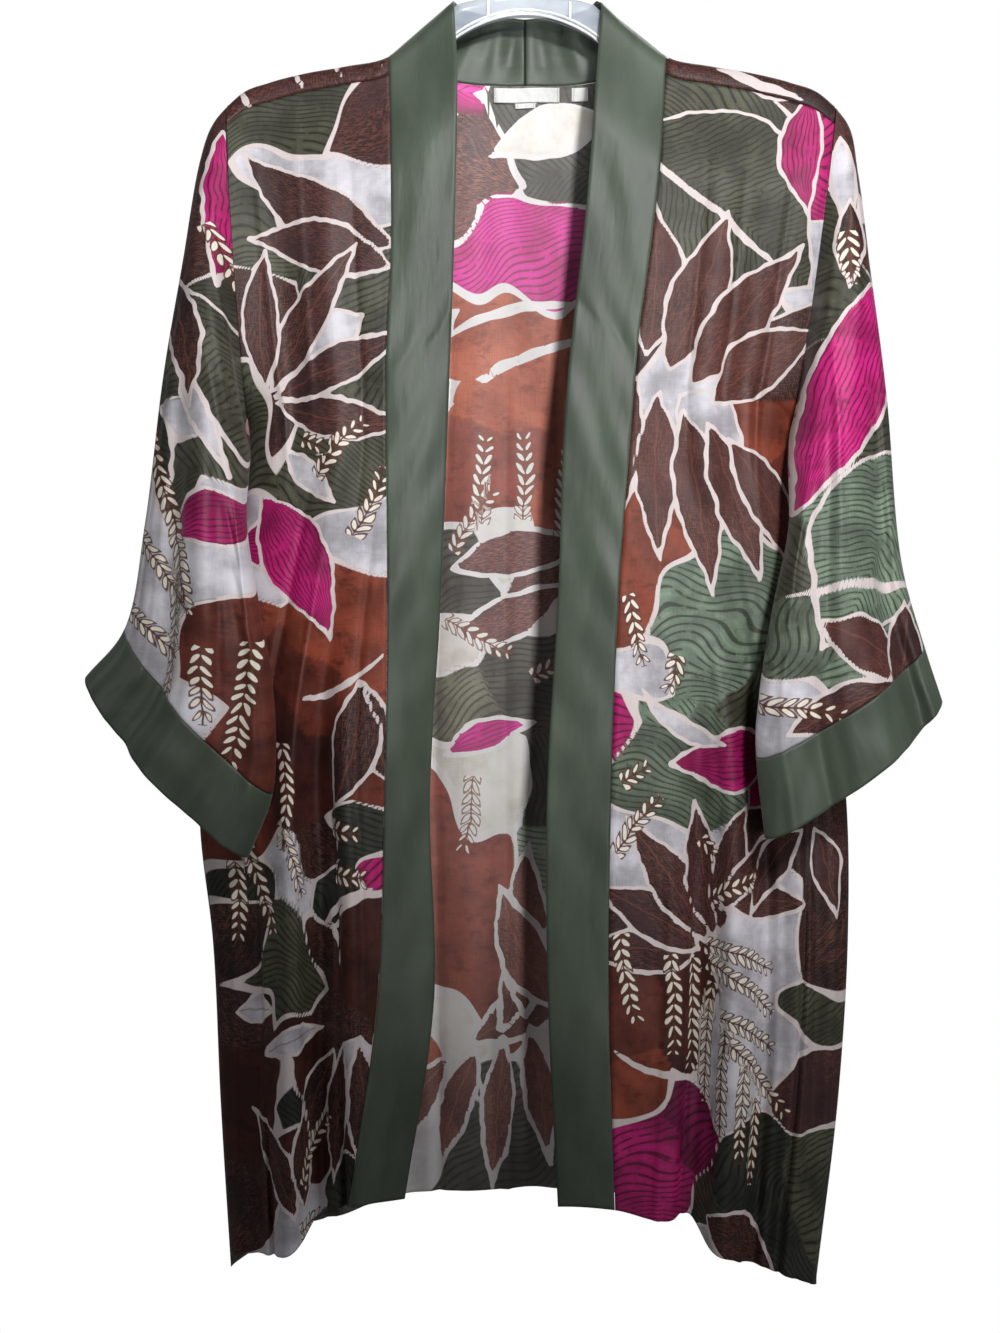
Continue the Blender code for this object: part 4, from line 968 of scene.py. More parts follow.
        sprigs=[
            Sprig(0.172, -0.606, 352, 0.050, 0.05), Sprig(0.238, -0.268, 270, 0.040, 0.0),
            Sprig(0.420, -0.500, 290, 0.090, 0.05), Sprig(0.450, -0.500, 275, 0.090, 0.05),
        ],
    ),
}


# Shader maths

class Value:
    """A number socket of a material that Python's own signs add Math nodes to."""

    def __init__(self, nodes: "Nodes", socket: Any) -> None:
        """Wrap a socket."""
        self.nodes, self.socket = nodes, socket

    def _do(self, operation: str, *others: Any) -> "Value":
        """The Math node of an operation on this value and others."""
        return self.nodes.maths(operation, self, *others)

    def __add__(self, other: Any) -> "Value":
        """Sum."""
        return self._do("ADD", other)

    __radd__ = __add__

    def __sub__(self, other: Any) -> "Value":
        """Difference."""
        return self._do("SUBTRACT", other)

    def __rsub__(self, other: Any) -> "Value":
        """Difference, the other way round."""
        return self.nodes.maths("SUBTRACT", other, self)

    def __mul__(self, other: Any) -> "Value":
        """Product."""
        return self._do("MULTIPLY", other)

    __rmul__ = __mul__

    def __truediv__(self, other: Any) -> "Value":
        """Quotient."""
        return self._do("DIVIDE", other)

    def __abs__(self) -> "Value":
        """Size without sign."""
        return self._do("ABSOLUTE")

    def __gt__(self, other: Any) -> "Value":
        """1 where greater, else 0."""
        return self._do("GREATER_THAN", other)

    def __lt__(self, other: Any) -> "Value":
        """1 where less, else 0."""
        return self._do("LESS_THAN", other)

    def fract(self) -> "Value":
        """What is left past the whole number."""
        return self._do("FRACT")

    def clamp(self) -> "Value":
        """Held between 0 and 1."""
        return self.nodes.add("ShaderNodeClamp", {}, {"Value": self})

    def soft(self, low: float, high: float) -> "Value":
        """0 at low, 1 at high, with a soft rise between."""
        settings = {"interpolation_type": "SMOOTHSTEP"}
        return self.nodes.add("ShaderNodeMapRange", settings,
                              {"Value": self, "From Min": low, "From Max": high})


class Nodes:
    """The node tree of one material."""

    def __init__(self, name: str) -> None:
        """Make an empty material with its Principled shader."""
        self.material = bpy.data.materials.new(name)
        self.material.use_nodes = True
        self.tree = self.material.node_tree
        self.shader = self.tree.nodes["Principled BSDF"]

    def add(self, kind: str, settings: dict[str, Any], inputs: dict[Any, Any], output: Any = 0) -> Value:
        """Add a node.

        Args:
            kind: the node's type.
            settings: its properties, set first.
            inputs: a value or a link for each socket, by name or number.
            output: which output to give back.

        Returns:
            That output.
        """
        node = self.tree.nodes.new(kind)
        for name, value in settings.items():
            setattr(node, name, value)
        for name, value in inputs.items():
            self.feed(node.inputs[name], value)
        return Value(self, node.outputs[output])

    def feed(self, socket: Any, value: Any) -> None:
        """Link a socket to a value, or set it to a number."""
        if isinstance(value, Value):
            self.tree.links.new(value.socket, socket)
        else:
            socket.default_value = value

    def maths(self, operation: str, *values: Any) -> Value:
        """A Math node."""
        return self.add("ShaderNodeMath", {"operation": operation}, dict(enumerate(values)))

    def mix(self, factor: Any, first: Any, second: Any, how: str = "MIX") -> Value:
        """Two colours mixed; numbers are taken as linear colours."""
        node = self.tree.nodes.new("ShaderNodeMix")
        node.data_type, node.blend_type, node.clamp_factor = "RGBA", how, True
        for number, value in ((0, factor), (6, first), (7, second)):
            self.feed(node.inputs[number], value)
        return Value(self, node.outputs[2])

    def attribute(self, name: str) -> dict[str, Value]:
        """A point attribute: its vector's parts, its colour and its fourth channel."""
        node = self.tree.nodes.new("ShaderNodeAttribute")
        node.attribute_name = name
        parts = self.tree.nodes.new("ShaderNodeSeparateXYZ")
        self.tree.links.new(node.outputs["Vector"], parts.inputs[0])
        return {"x": Value(self, parts.outputs[0]), "y": Value(self, parts.outputs[1]),
                "z": Value(self, parts.outputs[2]), "colour": Value(self, node.outputs["Color"]),
                "vector": Value(self, node.outputs["Vector"]), "fourth": Value(self, node.outputs["Alpha"]),
                "amount": Value(self, node.outputs["Fac"])}

    def scaled(self, vector: Any, x: float, y: float, z: float = 1.0) -> Value:
        """A vector with each part multiplied."""
        return self.add("ShaderNodeVectorMath", {"operation": "MULTIPLY"}, {0: vector, 1: (x, y, z)})

    def noise(self, vector: Any, scale: float, detail: float = 3.0, rough: float = 0.5) -> Value:
        """Noise between 0 and 1 at a vector."""
        return self.add("ShaderNodeTexNoise", {},
                        {"Vector": vector, "Scale": scale, "Detail": detail, "Roughness": rough})

    def place(self, x: Value, y: Value) -> Value:
        """A vector from two numbers."""
        return self.add("ShaderNodeCombineXYZ", {}, {0: x, 1: y})

    def bump(self, height: Value, distance: float, strength: float = 1.0) -> None:
        """Feed a height to the shader's normal."""
        bump = self.add("ShaderNodeBump", {}, {"Height": height, "Distance": distance, "Strength": strength})
        self.feed(self.shader.inputs["Normal"], bump)

    def constants(self, **values: Any) -> None:
        """Set the shader's sockets; a name's underscores are spaces."""
        for name, value in values.items():
            self.shader.inputs[name.replace("_", " ")].default_value = value


@dataclass(frozen=True)
class LeafPrint:
    """The printed cloth, on its right or its wrong side."""
    name: str
    wrong_side: bool = False
    line_pitch: float = 0.0050
    outline: float = 0.0013

    def filled(self, nodes: Nodes, layer: str) -> tuple[Value, Value]:
        """The inked colour of a layer: lines, scratches and clouds over its ink.

        Args:
            nodes: the material's tree.
            layer: the attribute's name.

        Returns:
            The colour, and how deep inside its outline the point lies.
        """
        place = nodes.attribute(layer)
        ink = nodes.attribute(layer + "_ink")
        cloth = nodes.attribute("cloth")["vector"]
        wander = nodes.noise(cloth, 34.0, 2.0) * 0.0022
        phase = ((place["y"] + wander) / self.line_pitch).fract()
        ridge = abs(phase - 0.5)
        broken = nodes.noise(cloth, 90.0, 2.0).soft(0.30, 0.45)
        lined = (ink["fourth"] * 2.0 - 1.0).clamp()
        scratched = (1.0 - ink["fourth"] * 4.0).clamp()
        mottled = (1.0 - abs(ink["fourth"] - 0.25) * 6.0).clamp()
        cloud = nodes.noise(cloth, 24.0, 4.0, 0.6)
        shade = nodes.mix(1.0, ink["colour"], (0.50, 0.50, 0.50, 1), "MULTIPLY")
        tint = nodes.mix(0.20, ink["colour"], (0.9, 0.9, 0.9, 1), "SOFT_LIGHT")
        colour = nodes.mix(cloud.soft(0.30, 0.68), shade, tint)
        ink_line = nodes.mix(1.0, ink["colour"], (0.20, 0.18, 0.18, 1), "MULTIPLY")
        bright = nodes.mix(0.5, ink["colour"], (0.95, 0.95, 0.95, 1), "SOFT_LIGHT")
        colour = nodes.mix(ridge.soft(0.32, 0.50) * lined * cloud.soft(0.45, 0.60) * 0.7, colour, bright)
        colour = nodes.mix((1.0 - ridge.soft(0.09, 0.19)) * broken * lined * 0.85, colour, ink_line)
        along = nodes.noise(nodes.scaled(nodes.place(place["z"], place["y"]), 1100.0, 150.0), 1.0, 3.0, 0.65)
        across = nodes.noise(nodes.scaled(cloth, 150.0, 1000.0), 1.0, 3.0, 0.65)
        scratch = along.soft(0.47, 0.60) * 0.8 + across.soft(0.50, 0.62) * 0.7
        rub = nodes.noise(cloth, 17.0, 2.0).soft(0.30, 0.55) * 0.75 + 0.25
        colour = nodes.mix((scratch * scratched * rub).clamp() * 0.58, colour, (0.235, 0.078, 0.052, 1))
        mottle = nodes.noise(nodes.scaled(cloth, 40.0, 62.0), 1.0, 5.0, 0.72).soft(0.50, 0.66)
        colour = nodes.mix(mottle * mottled * 0.60, colour, ink_line)
        blotch = nodes.noise(cloth, 60.0, 4.0, 0.7).soft(0.60, 0.70)
        colour = nodes.mix(blotch * lined * 0.55, colour, ink_line)
        return colour, place["x"]

    def build(self) -> bpy.types.Material:
        """The material."""
        nodes = Nodes(self.name)
        cloth = nodes.attribute("cloth")["vector"]
        pale_line = (0.76, 0.67, 0.66, 1)
        colour, depth = self.filled(nodes, "ground")
        edge = 1.0 - abs(depth).soft(self.outline * 0.75, self.outline * 1.15)
        colour = nodes.mix(edge, colour, pale_line)
        for layer in ("low", "top"):
            fill, depth = self.filled(nodes, layer)
            if layer == "top":
                rib = abs(nodes.attribute(layer)["z"])
                fill = nodes.mix((1.0 - rib.soft(0.0003, 0.0010)) * 0.5, fill, (0.22, 0.07, 0.045, 1))
            rim = depth.soft(-self.outline * 1.15, -self.outline * 0.80)
            colour = nodes.mix(rim, colour, pale_line)
            colour = nodes.mix(depth.soft(self.outline * 0.55, self.outline * 0.9), colour, fill)
            near = nodes.attribute(layer + "_edge")["amount"]
            between = near.soft(self.outline * 0.85, self.outline * 1.15)
            colour = nodes.mix((1.0 - between) * (depth > 0.0), colour, pale_line)
        colour = self.sprigs(nodes, colour)
        thread_a = nodes.noise(nodes.scaled(cloth, 60.0, 2600.0), 1.0, 2.0)
        thread_b = nodes.noise(nodes.scaled(cloth, 2600.0, 60.0), 1.0, 2.0)
        weave = (thread_a + thread_b) * 0.5
        colour = nodes.mix(0.55, colour, nodes.mix(weave.soft(0.35, 0.65), (0.30, 0.30, 0.30, 1),
                                                   (0.66, 0.66, 0.66, 1)), "SOFT_LIGHT")
        if self.wrong_side:
            colour = nodes.mix(1.0, colour, colour, "SCREEN")
            colour = nodes.mix(0.5, colour, colour, "SCREEN")
            colour = nodes.mix(0.10, colour, (0.80, 0.72, 0.72, 1))
        nodes.feed(nodes.shader.inputs["Base Color"], colour)
        nodes.feed(nodes.shader.inputs["Roughness"], weave * 0.25 + 0.42)
        nodes.constants(Sheen_Weight=0.10, Sheen_Roughness=0.35, Specular_IOR_Level=0.38)
        ripple = nodes.noise(nodes.scaled(cloth, 55.0, 22.0), 1.0, 3.0)
        nodes.bump(weave * 0.25 + ripple * 2.2, 0.0010, 0.55)
        return nodes.material

    def sprigs(self, nodes: Nodes, colour: Value) -> Value:
        """Draw the sprigs: leaflets are ellipses set slantwise at an even pitch on both sides of a stem.

        Args:
            nodes: the material's tree.
            colour: what lies below.

        Returns:
            The colour with the sprigs on it.
        """
        place = nodes.attribute("sprig")
        along, left = place["x"], place["z"]
        off = abs(place["y"])
        pitch, lean, length, width = 0.0082, 0.95, 0.0050, 0.0021
        shrink = left.soft(-0.004, 0.030) * 0.45 + 0.55
        slant = along - off * lean
        cell = ((slant / pitch).fract() - 0.5) * pitch * 0.75
        out = (off * 1.38 - 0.0048) / length
        shape = nodes.maths("SQRT", out * out + (cell / width) * (cell / width)) / shrink
        within = (along > -0.001) * (left > 0.001) * (place["fourth"] > 0.0)
        leaflet = (1.0 - shape.soft(0.76, 0.88)) * within
        rim = (1.0 - shape.soft(1.26, 1.42)) * within
        stem = (1.0 - off.soft(0.0003, 0.0008)) * within
        dark = (0.105, 0.032, 0.018, 1)
        colour = nodes.mix(rim * 0.9, colour, dark)
        colour = nodes.mix(stem, colour, dark)
        return nodes.mix(leaflet, colour, (0.90, 0.83, 0.72, 1))


@dataclass(frozen=True)
class Satin:
    """Plain sage satin: a close twill with a soft sheen and faint press marks."""
    name: str = "green_satin"
    colour: tuple[float, float, float, float] = (0.070, 0.090, 0.066, 1.0)

    def build(self) -> bpy.types.Material:
        """The material."""
        nodes = Nodes(self.name)
        cloth = nodes.attribute("cloth")["vector"]
        cloud = nodes.noise(nodes.scaled(cloth, 26.0, 9.0), 1.0, 4.0, 0.55)
        fine = nodes.noise(nodes.scaled(cloth, 2400.0, 240.0), 1.0, 2.0)
        lighter = tuple(1.22 * part for part in self.colour[:3]) + (1.0,)
        darker = tuple(0.80 * part for part in self.colour[:3]) + (1.0,)
        colour = nodes.mix(cloud.soft(0.30, 0.70), darker, lighter)
        thread = nodes.mix(fine, (0.3, 0.3, 0.3, 1), (0.7, 0.7, 0.7, 1))
        colour = nodes.mix(0.35, colour, thread, "SOFT_LIGHT")
        seam = 1.0 - nodes.attribute("cloth")["z"].soft(0.0003, 0.0013)
        colour = nodes.mix(seam * 0.85, colour, (0.010, 0.014, 0.009, 1))
        nodes.feed(nodes.shader.inputs["Base Color"], colour)
        nodes.feed(nodes.shader.inputs["Roughness"], fine * 0.12 + cloud * 0.10 + 0.34)
        nodes.constants(Sheen_Weight=0.22, Sheen_Roughness=0.40, Sheen_Tint=(0.80, 0.90, 0.78, 1.0),
                        Specular_IOR_Level=0.42)
        parts = nodes.attribute("cloth")
        twill = nodes.maths("SINE", (parts["x"] + parts["y"]) * 7800.0) * 0.5
        pucker = nodes.noise(nodes.scaled(cloth, 60.0, 14.0), 1.0, 3.0)
        nodes.bump(twill * 0.05 + pucker * 1.8 + cloud * 0.8, 0.0010, 0.55)
        return nodes.material


@dataclass(frozen=True)
class LabelTape:
    """Woven white tape with turned ends and a line of stitches at each."""
    name: str = "label_cloth"

    def build(self) -> bpy.types.Material:
        """The material."""
        nodes = Nodes(self.name)
        parts = nodes.attribute("cloth")
        rib = nodes.maths("SINE", parts["y"] * 9000.0)
        cloud = nodes.noise(parts["vector"], 220.0, 3.0)
        stitch = (1.0 - abs(parts["z"] - 0.0014).soft(0.0002, 0.0005)) * (
            (parts["y"] / 0.0016).fract() < 0.62)
        colour = nodes.mix(cloud.soft(0.3, 0.7), (0.86, 0.86, 0.85, 1), (0.95, 0.95, 0.94, 1))
        colour = nodes.mix(stitch * 0.7, colour, (0.45, 0.44, 0.42, 1))
        nodes.feed(nodes.shader.inputs["Base Color"], colour)
        nodes.feed(nodes.shader.inputs["Roughness"], cloud * 0.15 + 0.55)
        nodes.bump(rib * 0.12 - stitch * 0.8, 0.0006, 0.8)
        return nodes.material


@dataclass(frozen=True)
class ClearPlastic:
    """Smoky clear plastic with faint flow marks."""
    name: str = "hanger_plastic"
    low: tuple[float, float, float, float] = (0.44, 0.50, 0.59, 1)
    high: tuple[float, float, float, float] = (0.70, 0.76, 0.84, 1)
    solid: float = 0.40

    def build(self) -> bpy.types.Material:
        """The material: a clear coat over a see-through body, whose alpha the flow marks vary."""
        nodes = Nodes(self.name)
        where = nodes.add("ShaderNodeTexCoord", {}, {}, "Object")
        flow = nodes.noise(nodes.scaled(where, 18.0, 60.0, 45.0), 1.0, 3.0)
        colour = nodes.mix(flow.soft(0.3, 0.7), self.low, self.high)
        nodes.feed(nodes.shader.inputs["Base Color"], colour)
        nodes.feed(nodes.shader.inputs["Roughness"], flow * 0.12 + 0.10)
        nodes.feed(nodes.shader.inputs["Alpha"], flow * 0.25 + self.solid)
        nodes.constants(Coat_Weight=0.6, Coat_Roughness=0.06, IOR=1.49)
        nodes.bump(flow, 0.0010, 0.35)
        return nodes.material


@dataclass(frozen=True)
class BrightWire:
    """Drawn steel wire with fine marks along it."""
    name: str = "hook_steel"

    def build(self) -> bpy.types.Material:
        """The material."""
        nodes = Nodes(self.name)
        where = nodes.add("ShaderNodeTexCoord", {}, {}, "Object")
        drawn = nodes.noise(nodes.scaled(where, 900.0, 900.0, 120.0), 1.0, 3.0)
        colour = nodes.mix(drawn, (0.52, 0.52, 0.54, 1), (0.78, 0.78, 0.80, 1))
        nodes.feed(nodes.shader.inputs["Base Color"], colour)
        nodes.feed(nodes.shader.inputs["Roughness"], drawn * 0.22 + 0.16)
        nodes.constants(Metallic=1.0)
        nodes.bump(drawn, 0.0002, 0.5)
        return nodes.material


@dataclass(frozen=True)
class PaleFloor:
    """A matt floor that fades out towards its rim: pale to the camera, dark to the light it bounces."""
    name: str = "pale_floor"
    radius: float = 1.60

    def build(self) -> bpy.types.Material:
        """The material."""
        nodes = Nodes(self.name)
        where = nodes.add("ShaderNodeTexCoord", {}, {}, "Object")
        cloud = nodes.noise(where, 3.0, 4.0)
        seen = nodes.add("ShaderNodeLightPath", {}, {}, "Is Camera Ray")
        pale = nodes.mix(cloud, (0.88, 0.88, 0.88, 1), (0.92, 0.92, 0.92, 1))
        nodes.feed(nodes.shader.inputs["Base Color"], nodes.mix(seen, (0.30, 0.30, 0.30, 1), pale))
        nodes.feed(nodes.shader.inputs["Emission Color"], nodes.mix(seen, (0.0, 0.0, 0.0, 1), pale))
        flat = nodes.scaled(where, 1.0, 1.0, 0.0)
        reach = nodes.add("ShaderNodeVectorMath", {"operation": "LENGTH"}, {0: flat}, "Value")
        nodes.feed(nodes.shader.inputs["Alpha"], 1.0 - reach.soft(self.radius * 0.55, self.radius * 0.98))
        nodes.constants(Roughness=0.9, Specular_IOR_Level=0.1, Emission_Strength=0.55)
        return nodes.material


# Pieces

ATTRIBUTE_KINDS = {1: ("FLOAT", "value"), 3: ("FLOAT_VECTOR", "vector"), 4: ("FLOAT_COLOR", "color")}


def grid_faces(rows: int, columns: int, closed: bool, first: int = 0) -> np.ndarray:
    """The four corners of each face of a grid, by number.

    Args:
        rows: how many rows of points.
        columns: how many points in each.
        closed: whether the last column joins the first.
        first: the first point's number.

    Returns:
        Rows and columns of faces, with a last axis of four.
    """
    number = np.arange(rows * columns).reshape(rows, columns) + first
    if closed:
        number = np.concatenate([number, number[:, :1]], axis=1)
    return np.stack([number[:-1, :-1], number[:-1, 1:], number[1:, 1:], number[1:, :-1]], -1)


def in_scene(name: str, data: Any) -> bpy.types.Object:
    """A new object in the scene's own collection."""
    thing = bpy.data.objects.new(name, data)
    bpy.context.scene.collection.objects.link(thing)
    return thing


def grid_piece(name: str, points: np.ndarray, attributes: dict[str, np.ndarray],
               materials: Sequence[bpy.types.Material], wall: float, closed: bool = False,
               left_out: Optional[np.ndarray] = None) -> bpy.types.Object:
    """A cloth piece on a grid of points, with its wall and its attributes.

    Args:
        name: the piece's name.
        points: rows and columns of points; columns run the way that makes the faces look outwards.
        attributes: an array for each attribute, over the same grid.
        materials: the right side's material, and the wrong side's if it differs.
        wall: the wall's thickness.
        closed: whether the last column joins the first.
        left_out: faces to leave out, True for each.

    Returns:
        The object.
    """
    rows, columns = points.shape[:2]
    quads = grid_faces(rows, columns, closed)
    if left_out is not None:
        quads = quads[~left_out]
    quads = quads.reshape(-1, 4)
    used = np.unique(quads)
    fresh = np.full(rows * columns, -1)
    fresh[used] = np.arange(len(used))
    mesh = bpy.data.meshes.new(name)
    mesh.from_pydata(points.reshape(-1, 3)[used], [], fresh[quads])
    mesh.validate()
    mesh.shade_smooth()
    for key, values in attributes.items():
        width = values.shape[-1]
        kind, slot = ATTRIBUTE_KINDS[width]
        layer = mesh.attributes.new(key, kind, "POINT")
        layer.data.foreach_set(slot, values.reshape(-1, width)[used].astype(np.float32).ravel())
    for material in materials:
        mesh.materials.append(material)
    thing = in_scene(name, mesh)
    solidify = thing.modifiers.new("Wall", "SOLIDIFY")
    solidify.thickness = wall
    solidify.offset = 0.0
    solidify.use_even_offset = False
    solidify.material_offset = len(materials) - 1
    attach(thing, "root")
    corners = points.reshape(-1, 3)[quads]
    crosses = np.cross(corners[:, 2] - corners[:, 0], corners[:, 3] - corners[:, 1])
    area = np.linalg.norm(crosses, axis=1).sum() / 2.0
    log.info("%s: %d quads, %.4f square metres", name, len(quads), area)
    return thing


def cloth_space(points: np.ndarray, first: float) -> np.ndarray:
    """Flat coordinates of a grid: the length along each row from a first value, and the height."""
    across = steps_along(points, 1) + first
    return np.stack([across, points[..., 2], np.zeros_like(across)], -1)


@dataclass
class Front:
    """A front panel, from the shoulder seam to the hem and from the band to the side seam."""
    side: int
    rows: int = 430
    columns: int = 98
    wall: float = 0.0006
    cut: tuple[float, float] = (0.20, 0.93)

    def grid(self) -> np.ndarray:
        """Points of the panel; the columns crowd towards the side, where the surface turns."""
        panel = "left_front" if self.side < 0 else "right_front"
        falls = Drape.falls(Drape.seam_fall(), self.rows, panel)
        start = np.abs(Drape.band_across(self.side, "outer", falls))[:, None]
        share = np.sin(np.linspace(0.0, PI / 2.0, self.columns)) ** SIDE_CROWDING
        across = start + (1.0 - start) * share[None, :]
        points = Drape.body(self.side * across, np.broadcast_to(falls[:, None], across.shape))
        return pull_in(points, start=HALF_GAP, right=HALF_GAP)

    def build(self, cloths: Sequence[bpy.types.Material]) -> bpy.types.Object:
        """Make the panel and dress it in the print."""
        name = "front_left" if self.side < 0 else "front_right"
        points = self.grid()
        space = cloth_space(points, 0.0)
        a = self.side * space[..., 0] + points[:, :1, 0]
        attributes = PRINTS[name].attributes(a, points[..., 2])
        if self.side < 0:
            points = points[:, ::-1]
            attributes = {key: values[:, ::-1] for key, values in attributes.items()}
        panel = grid_piece(name + "_cloth", points[::-1], {k: v[::-1] for k, v in attributes.items()},
                           cloths, self.wall)
        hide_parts(name)
        return panel


@dataclass
class Back:
    """The back panel, which wraps over the shoulders to their seams and dips at the neck."""
    rows: int = 294
    half_columns: int = 80
    wall: float = 0.0006
    cut: tuple[float, float] = (0.60, 0.96)

    def grid(self) -> tuple[np.ndarray, np.ndarray]:
        """Points of the panel, and the faces above the neckline that are left out."""
        seam = Drape.seam_fall()
        wrap = np.linspace(-seam, 0.0, 9)
        falls = np.concatenate([wrap, Drape.falls(seam * 0.12, self.rows, "back")])
        inner = np.linspace(0.0, NECK_ACROSS, 33)[:-1]
        turn = np.linspace(0.0, PI / 2.0, self.half_columns - len(inner))
        outer = NECK_ACROSS + (1.0 - NECK_ACROSS) * np.sin(turn) ** SIDE_CROWDING
        half = np.concatenate([inner, outer])
        across = np.concatenate([-half[:0:-1], half])
        start = Drape.neck_fall(np.abs(across))
        fall = np.where(falls[:, None] > 0.0, start + (1.0 - start) * falls[:, None], falls[:, None])
        ridge_row = len(wrap) - 1
        fall[ridge_row] = np.where(start > 0.0, start, -1e-9)
        points = Drape.body(np.broadcast_to(across[None, :], fall.shape), -fall)
        points = pull_in(points, start=HALF_GAP, left=HALF_GAP, right=HALF_GAP)
        in_neck = np.maximum(np.abs(across[:-1]), np.abs(across[1:])) < NECK_ACROSS + 1e-6
        above = np.arange(len(falls) - 1) < ridge_row
        return points, above[:, None] & in_neck[None, :]

    def build(self, cloths: Sequence[bpy.types.Material]) -> bpy.types.Object:
        """Make the panel and dress it in the print."""
        points, left_out = self.grid()
        middle = points.shape[1] // 2
        run = steps_along(points, 1)
        a = run - run[:, middle:middle + 1]
        attributes = PRINTS["back"].attributes(a, points[..., 2])
        panel = grid_piece("back_cloth", points, attributes, cloths, self.wall, left_out=left_out)
        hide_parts("back")
        return panel


@dataclass
class Sleeve:
    """A sleeve, as a tube from the armhole to the cuff's seam."""
    side: int
    rows: int = 168
    columns: int = 176
    wall: float = 0.0006
    cut: tuple[float, float] = (0.42, 0.30)

    def build(self, cloths: Sequence[bpy.types.Material]) -> bpy.types.Object:
        """Make the tube; its print is unrolled about the top line."""
        name = "sleeve_left" if self.side < 0 else "sleeve_right"
        degrees = np.linspace(0.0, 360.0, self.columns, endpoint=False)
        steps = np.linspace(0.0, CUFF_START, self.rows)
        points = Drape.sleeve(self.side, steps, degrees)
        points = pull_in(points, start=0.0012, end=HALF_GAP)
        a, b = sleeve_space(self.side, steps, points)
        attributes = PRINTS[name].attributes(a, b)
        order = slice(None, None, -1) if self.side < 0 else slice(None)
        attributes = {key: values[:, order] for key, values in attributes.items()}
        tube = grid_piece(name + "_cloth", points[:, order], attributes, cloths, self.wall, closed=True)
        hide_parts(name)
        return tube


def sleeve_space(side: int, steps: np.ndarray, points: np.ndarray) -> tuple[np.ndarray, np.ndarray]:
    """Flat coordinates of a sleeve: the front lies as seen, the back is folded out past the top line.

    Args:
        side: -1 or 1.
        steps: the rings' steps.
        points: the rings' points.

    Returns:
        The place across and the height on the flat cloth.
    """
    rings = SLEEVE_RINGS[side]
    count = points.shape[1]
    run = steps_along(np.concatenate([points, points[:, :1]], axis=1), 1)
    whole = run[:, -1:]
    half = run[:, count // 2:count // 2 + 1]
    share = np.where(run[:, :-1] <= half, run[:, :-1] / half, -(whole - run[:, :-1]) / (whole - half))
    top_x, top_z, under_x, under_z = (smooth_table(rings, "step", column, steps)[:, None]
                                      for column in ("top_x", "top_z", "under_x", "under_z"))
    return top_x + (under_x - top_x) * share, top_z + (under_z - top_z) * share


@dataclass
class Cuff:
    """The plain doubled band at a sleeve's end."""
    side: int
    rows: int = 24
    columns: int = 156
    wall: float = 0.0009
    cut: tuple[float, float] = (0.42, 0.05)

    def build(self, satin: bpy.types.Material) -> bpy.types.Object:
        """Make the band as the sleeve's last rings."""
        name = "cuff_left" if self.side < 0 else "cuff_right"
        degrees = np.linspace(0.0, 360.0, self.columns, endpoint=False)
        points = Drape.sleeve(self.side, np.linspace(CUFF_START, 1.0, self.rows), degrees)
        points = pull_in(points, start=HALF_GAP)
        run = steps_along(points, 1)
        cloth = np.stack([run, steps_along(points, 0), np.ones_like(run)], -1)
        order = slice(None, None, -1) if self.side < 0 else slice(None)
        band = grid_piece(name + "_cloth", points[:, order], {"cloth": cloth[:, order]}, [satin],
                          self.wall, closed=True)
        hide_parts(name)
        return band


@dataclass
class FrontBand:
    """A front band with its half of the collar behind the neck."""
    side: int
    rows_down: int = 300
    rows_neck: int = 44
    columns: int = 20
    wall: float = 0.0011
    cut: tuple[float, float] = (0.052, 1.02)

    def grid(self) -> np.ndarray:
        """Points from the hem up to the ridge, then round the neck to its middle."""
        side = self.side
        share = np.linspace(0.0, 1.0, self.columns)
        falls = Drape.falls(0.008, self.rows_down, "left_front" if side < 0 else "right_front")[::-1]
        outer = Drape.band_across(side, "outer", falls)
        inner = Drape.band_across(side, "inner", falls)
        across = outer[:, None] + (inner - outer)[:, None] * share[None, :]
        front = Drape.body(side * across, np.broadcast_to(falls[:, None], across.shape))
        roll = smooth_table(BANDS, "height", "left_roll" if side < 0 else "right_roll", front[:, -1, 2])
        front[..., 1] += roll[:, None] * share[None, :] ** 1.5
        wander = uneven(31 + side, share[None, :] * 0.05, front[:, :1, 2], 0.22)
        front[..., 1] -= 0.0009 * wander * smooth_step(0.03, 0.12, falls)[:, None]
        steps = np.linspace(0.0, 1.0, self.rows_neck)
        neck_across = NECK_ACROSS * (1.0 - steps)
        seam = Drape.body(side * neck_across, -np.maximum(Drape.neck_fall(neck_across), 1e-6))
        edge = np.stack([smooth_table(COLLAR_EDGE, "step", column, steps)
                         for column in ("across", "depth", "height")], -1) * (side, 1, 1)
        neck = seam[:, None, :] + (edge - seam)[:, None, :] * share[None, :, None]
        swell = np.sin(PI * share)[None, :]
        neck[..., 1] += 0.003 * swell * np.sin(PI * np.minimum(steps, 0.5))[:, None]
        pleats = np.sin(steps * 17.0 + side) * 0.0011 + np.sin(steps * 31.0) * 0.0006
        neck[..., 1] += (pleats * smooth_step(0.15, 0.4, steps))[:, None] * swell
        return np.concatenate([front, neck], axis=0)

    def build(self, satin: bpy.types.Material) -> bpy.types.Object:
        """Make the band."""
        name = "band_left" if self.side < 0 else "band_right"
        points = pull_in(self.grid(), end=0.00002, left=0.0003)
        run = steps_along(points, 0)
        cloth = np.stack([steps_along(points, 1), run, run[-1:] - run], -1)
        order = slice(None, None, -1) if self.side > 0 else slice(None)
        band = grid_piece(name + "_cloth", points[:, order], {"cloth": cloth[:, order]}, [satin],
                          self.wall)
        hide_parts(name)
        return band


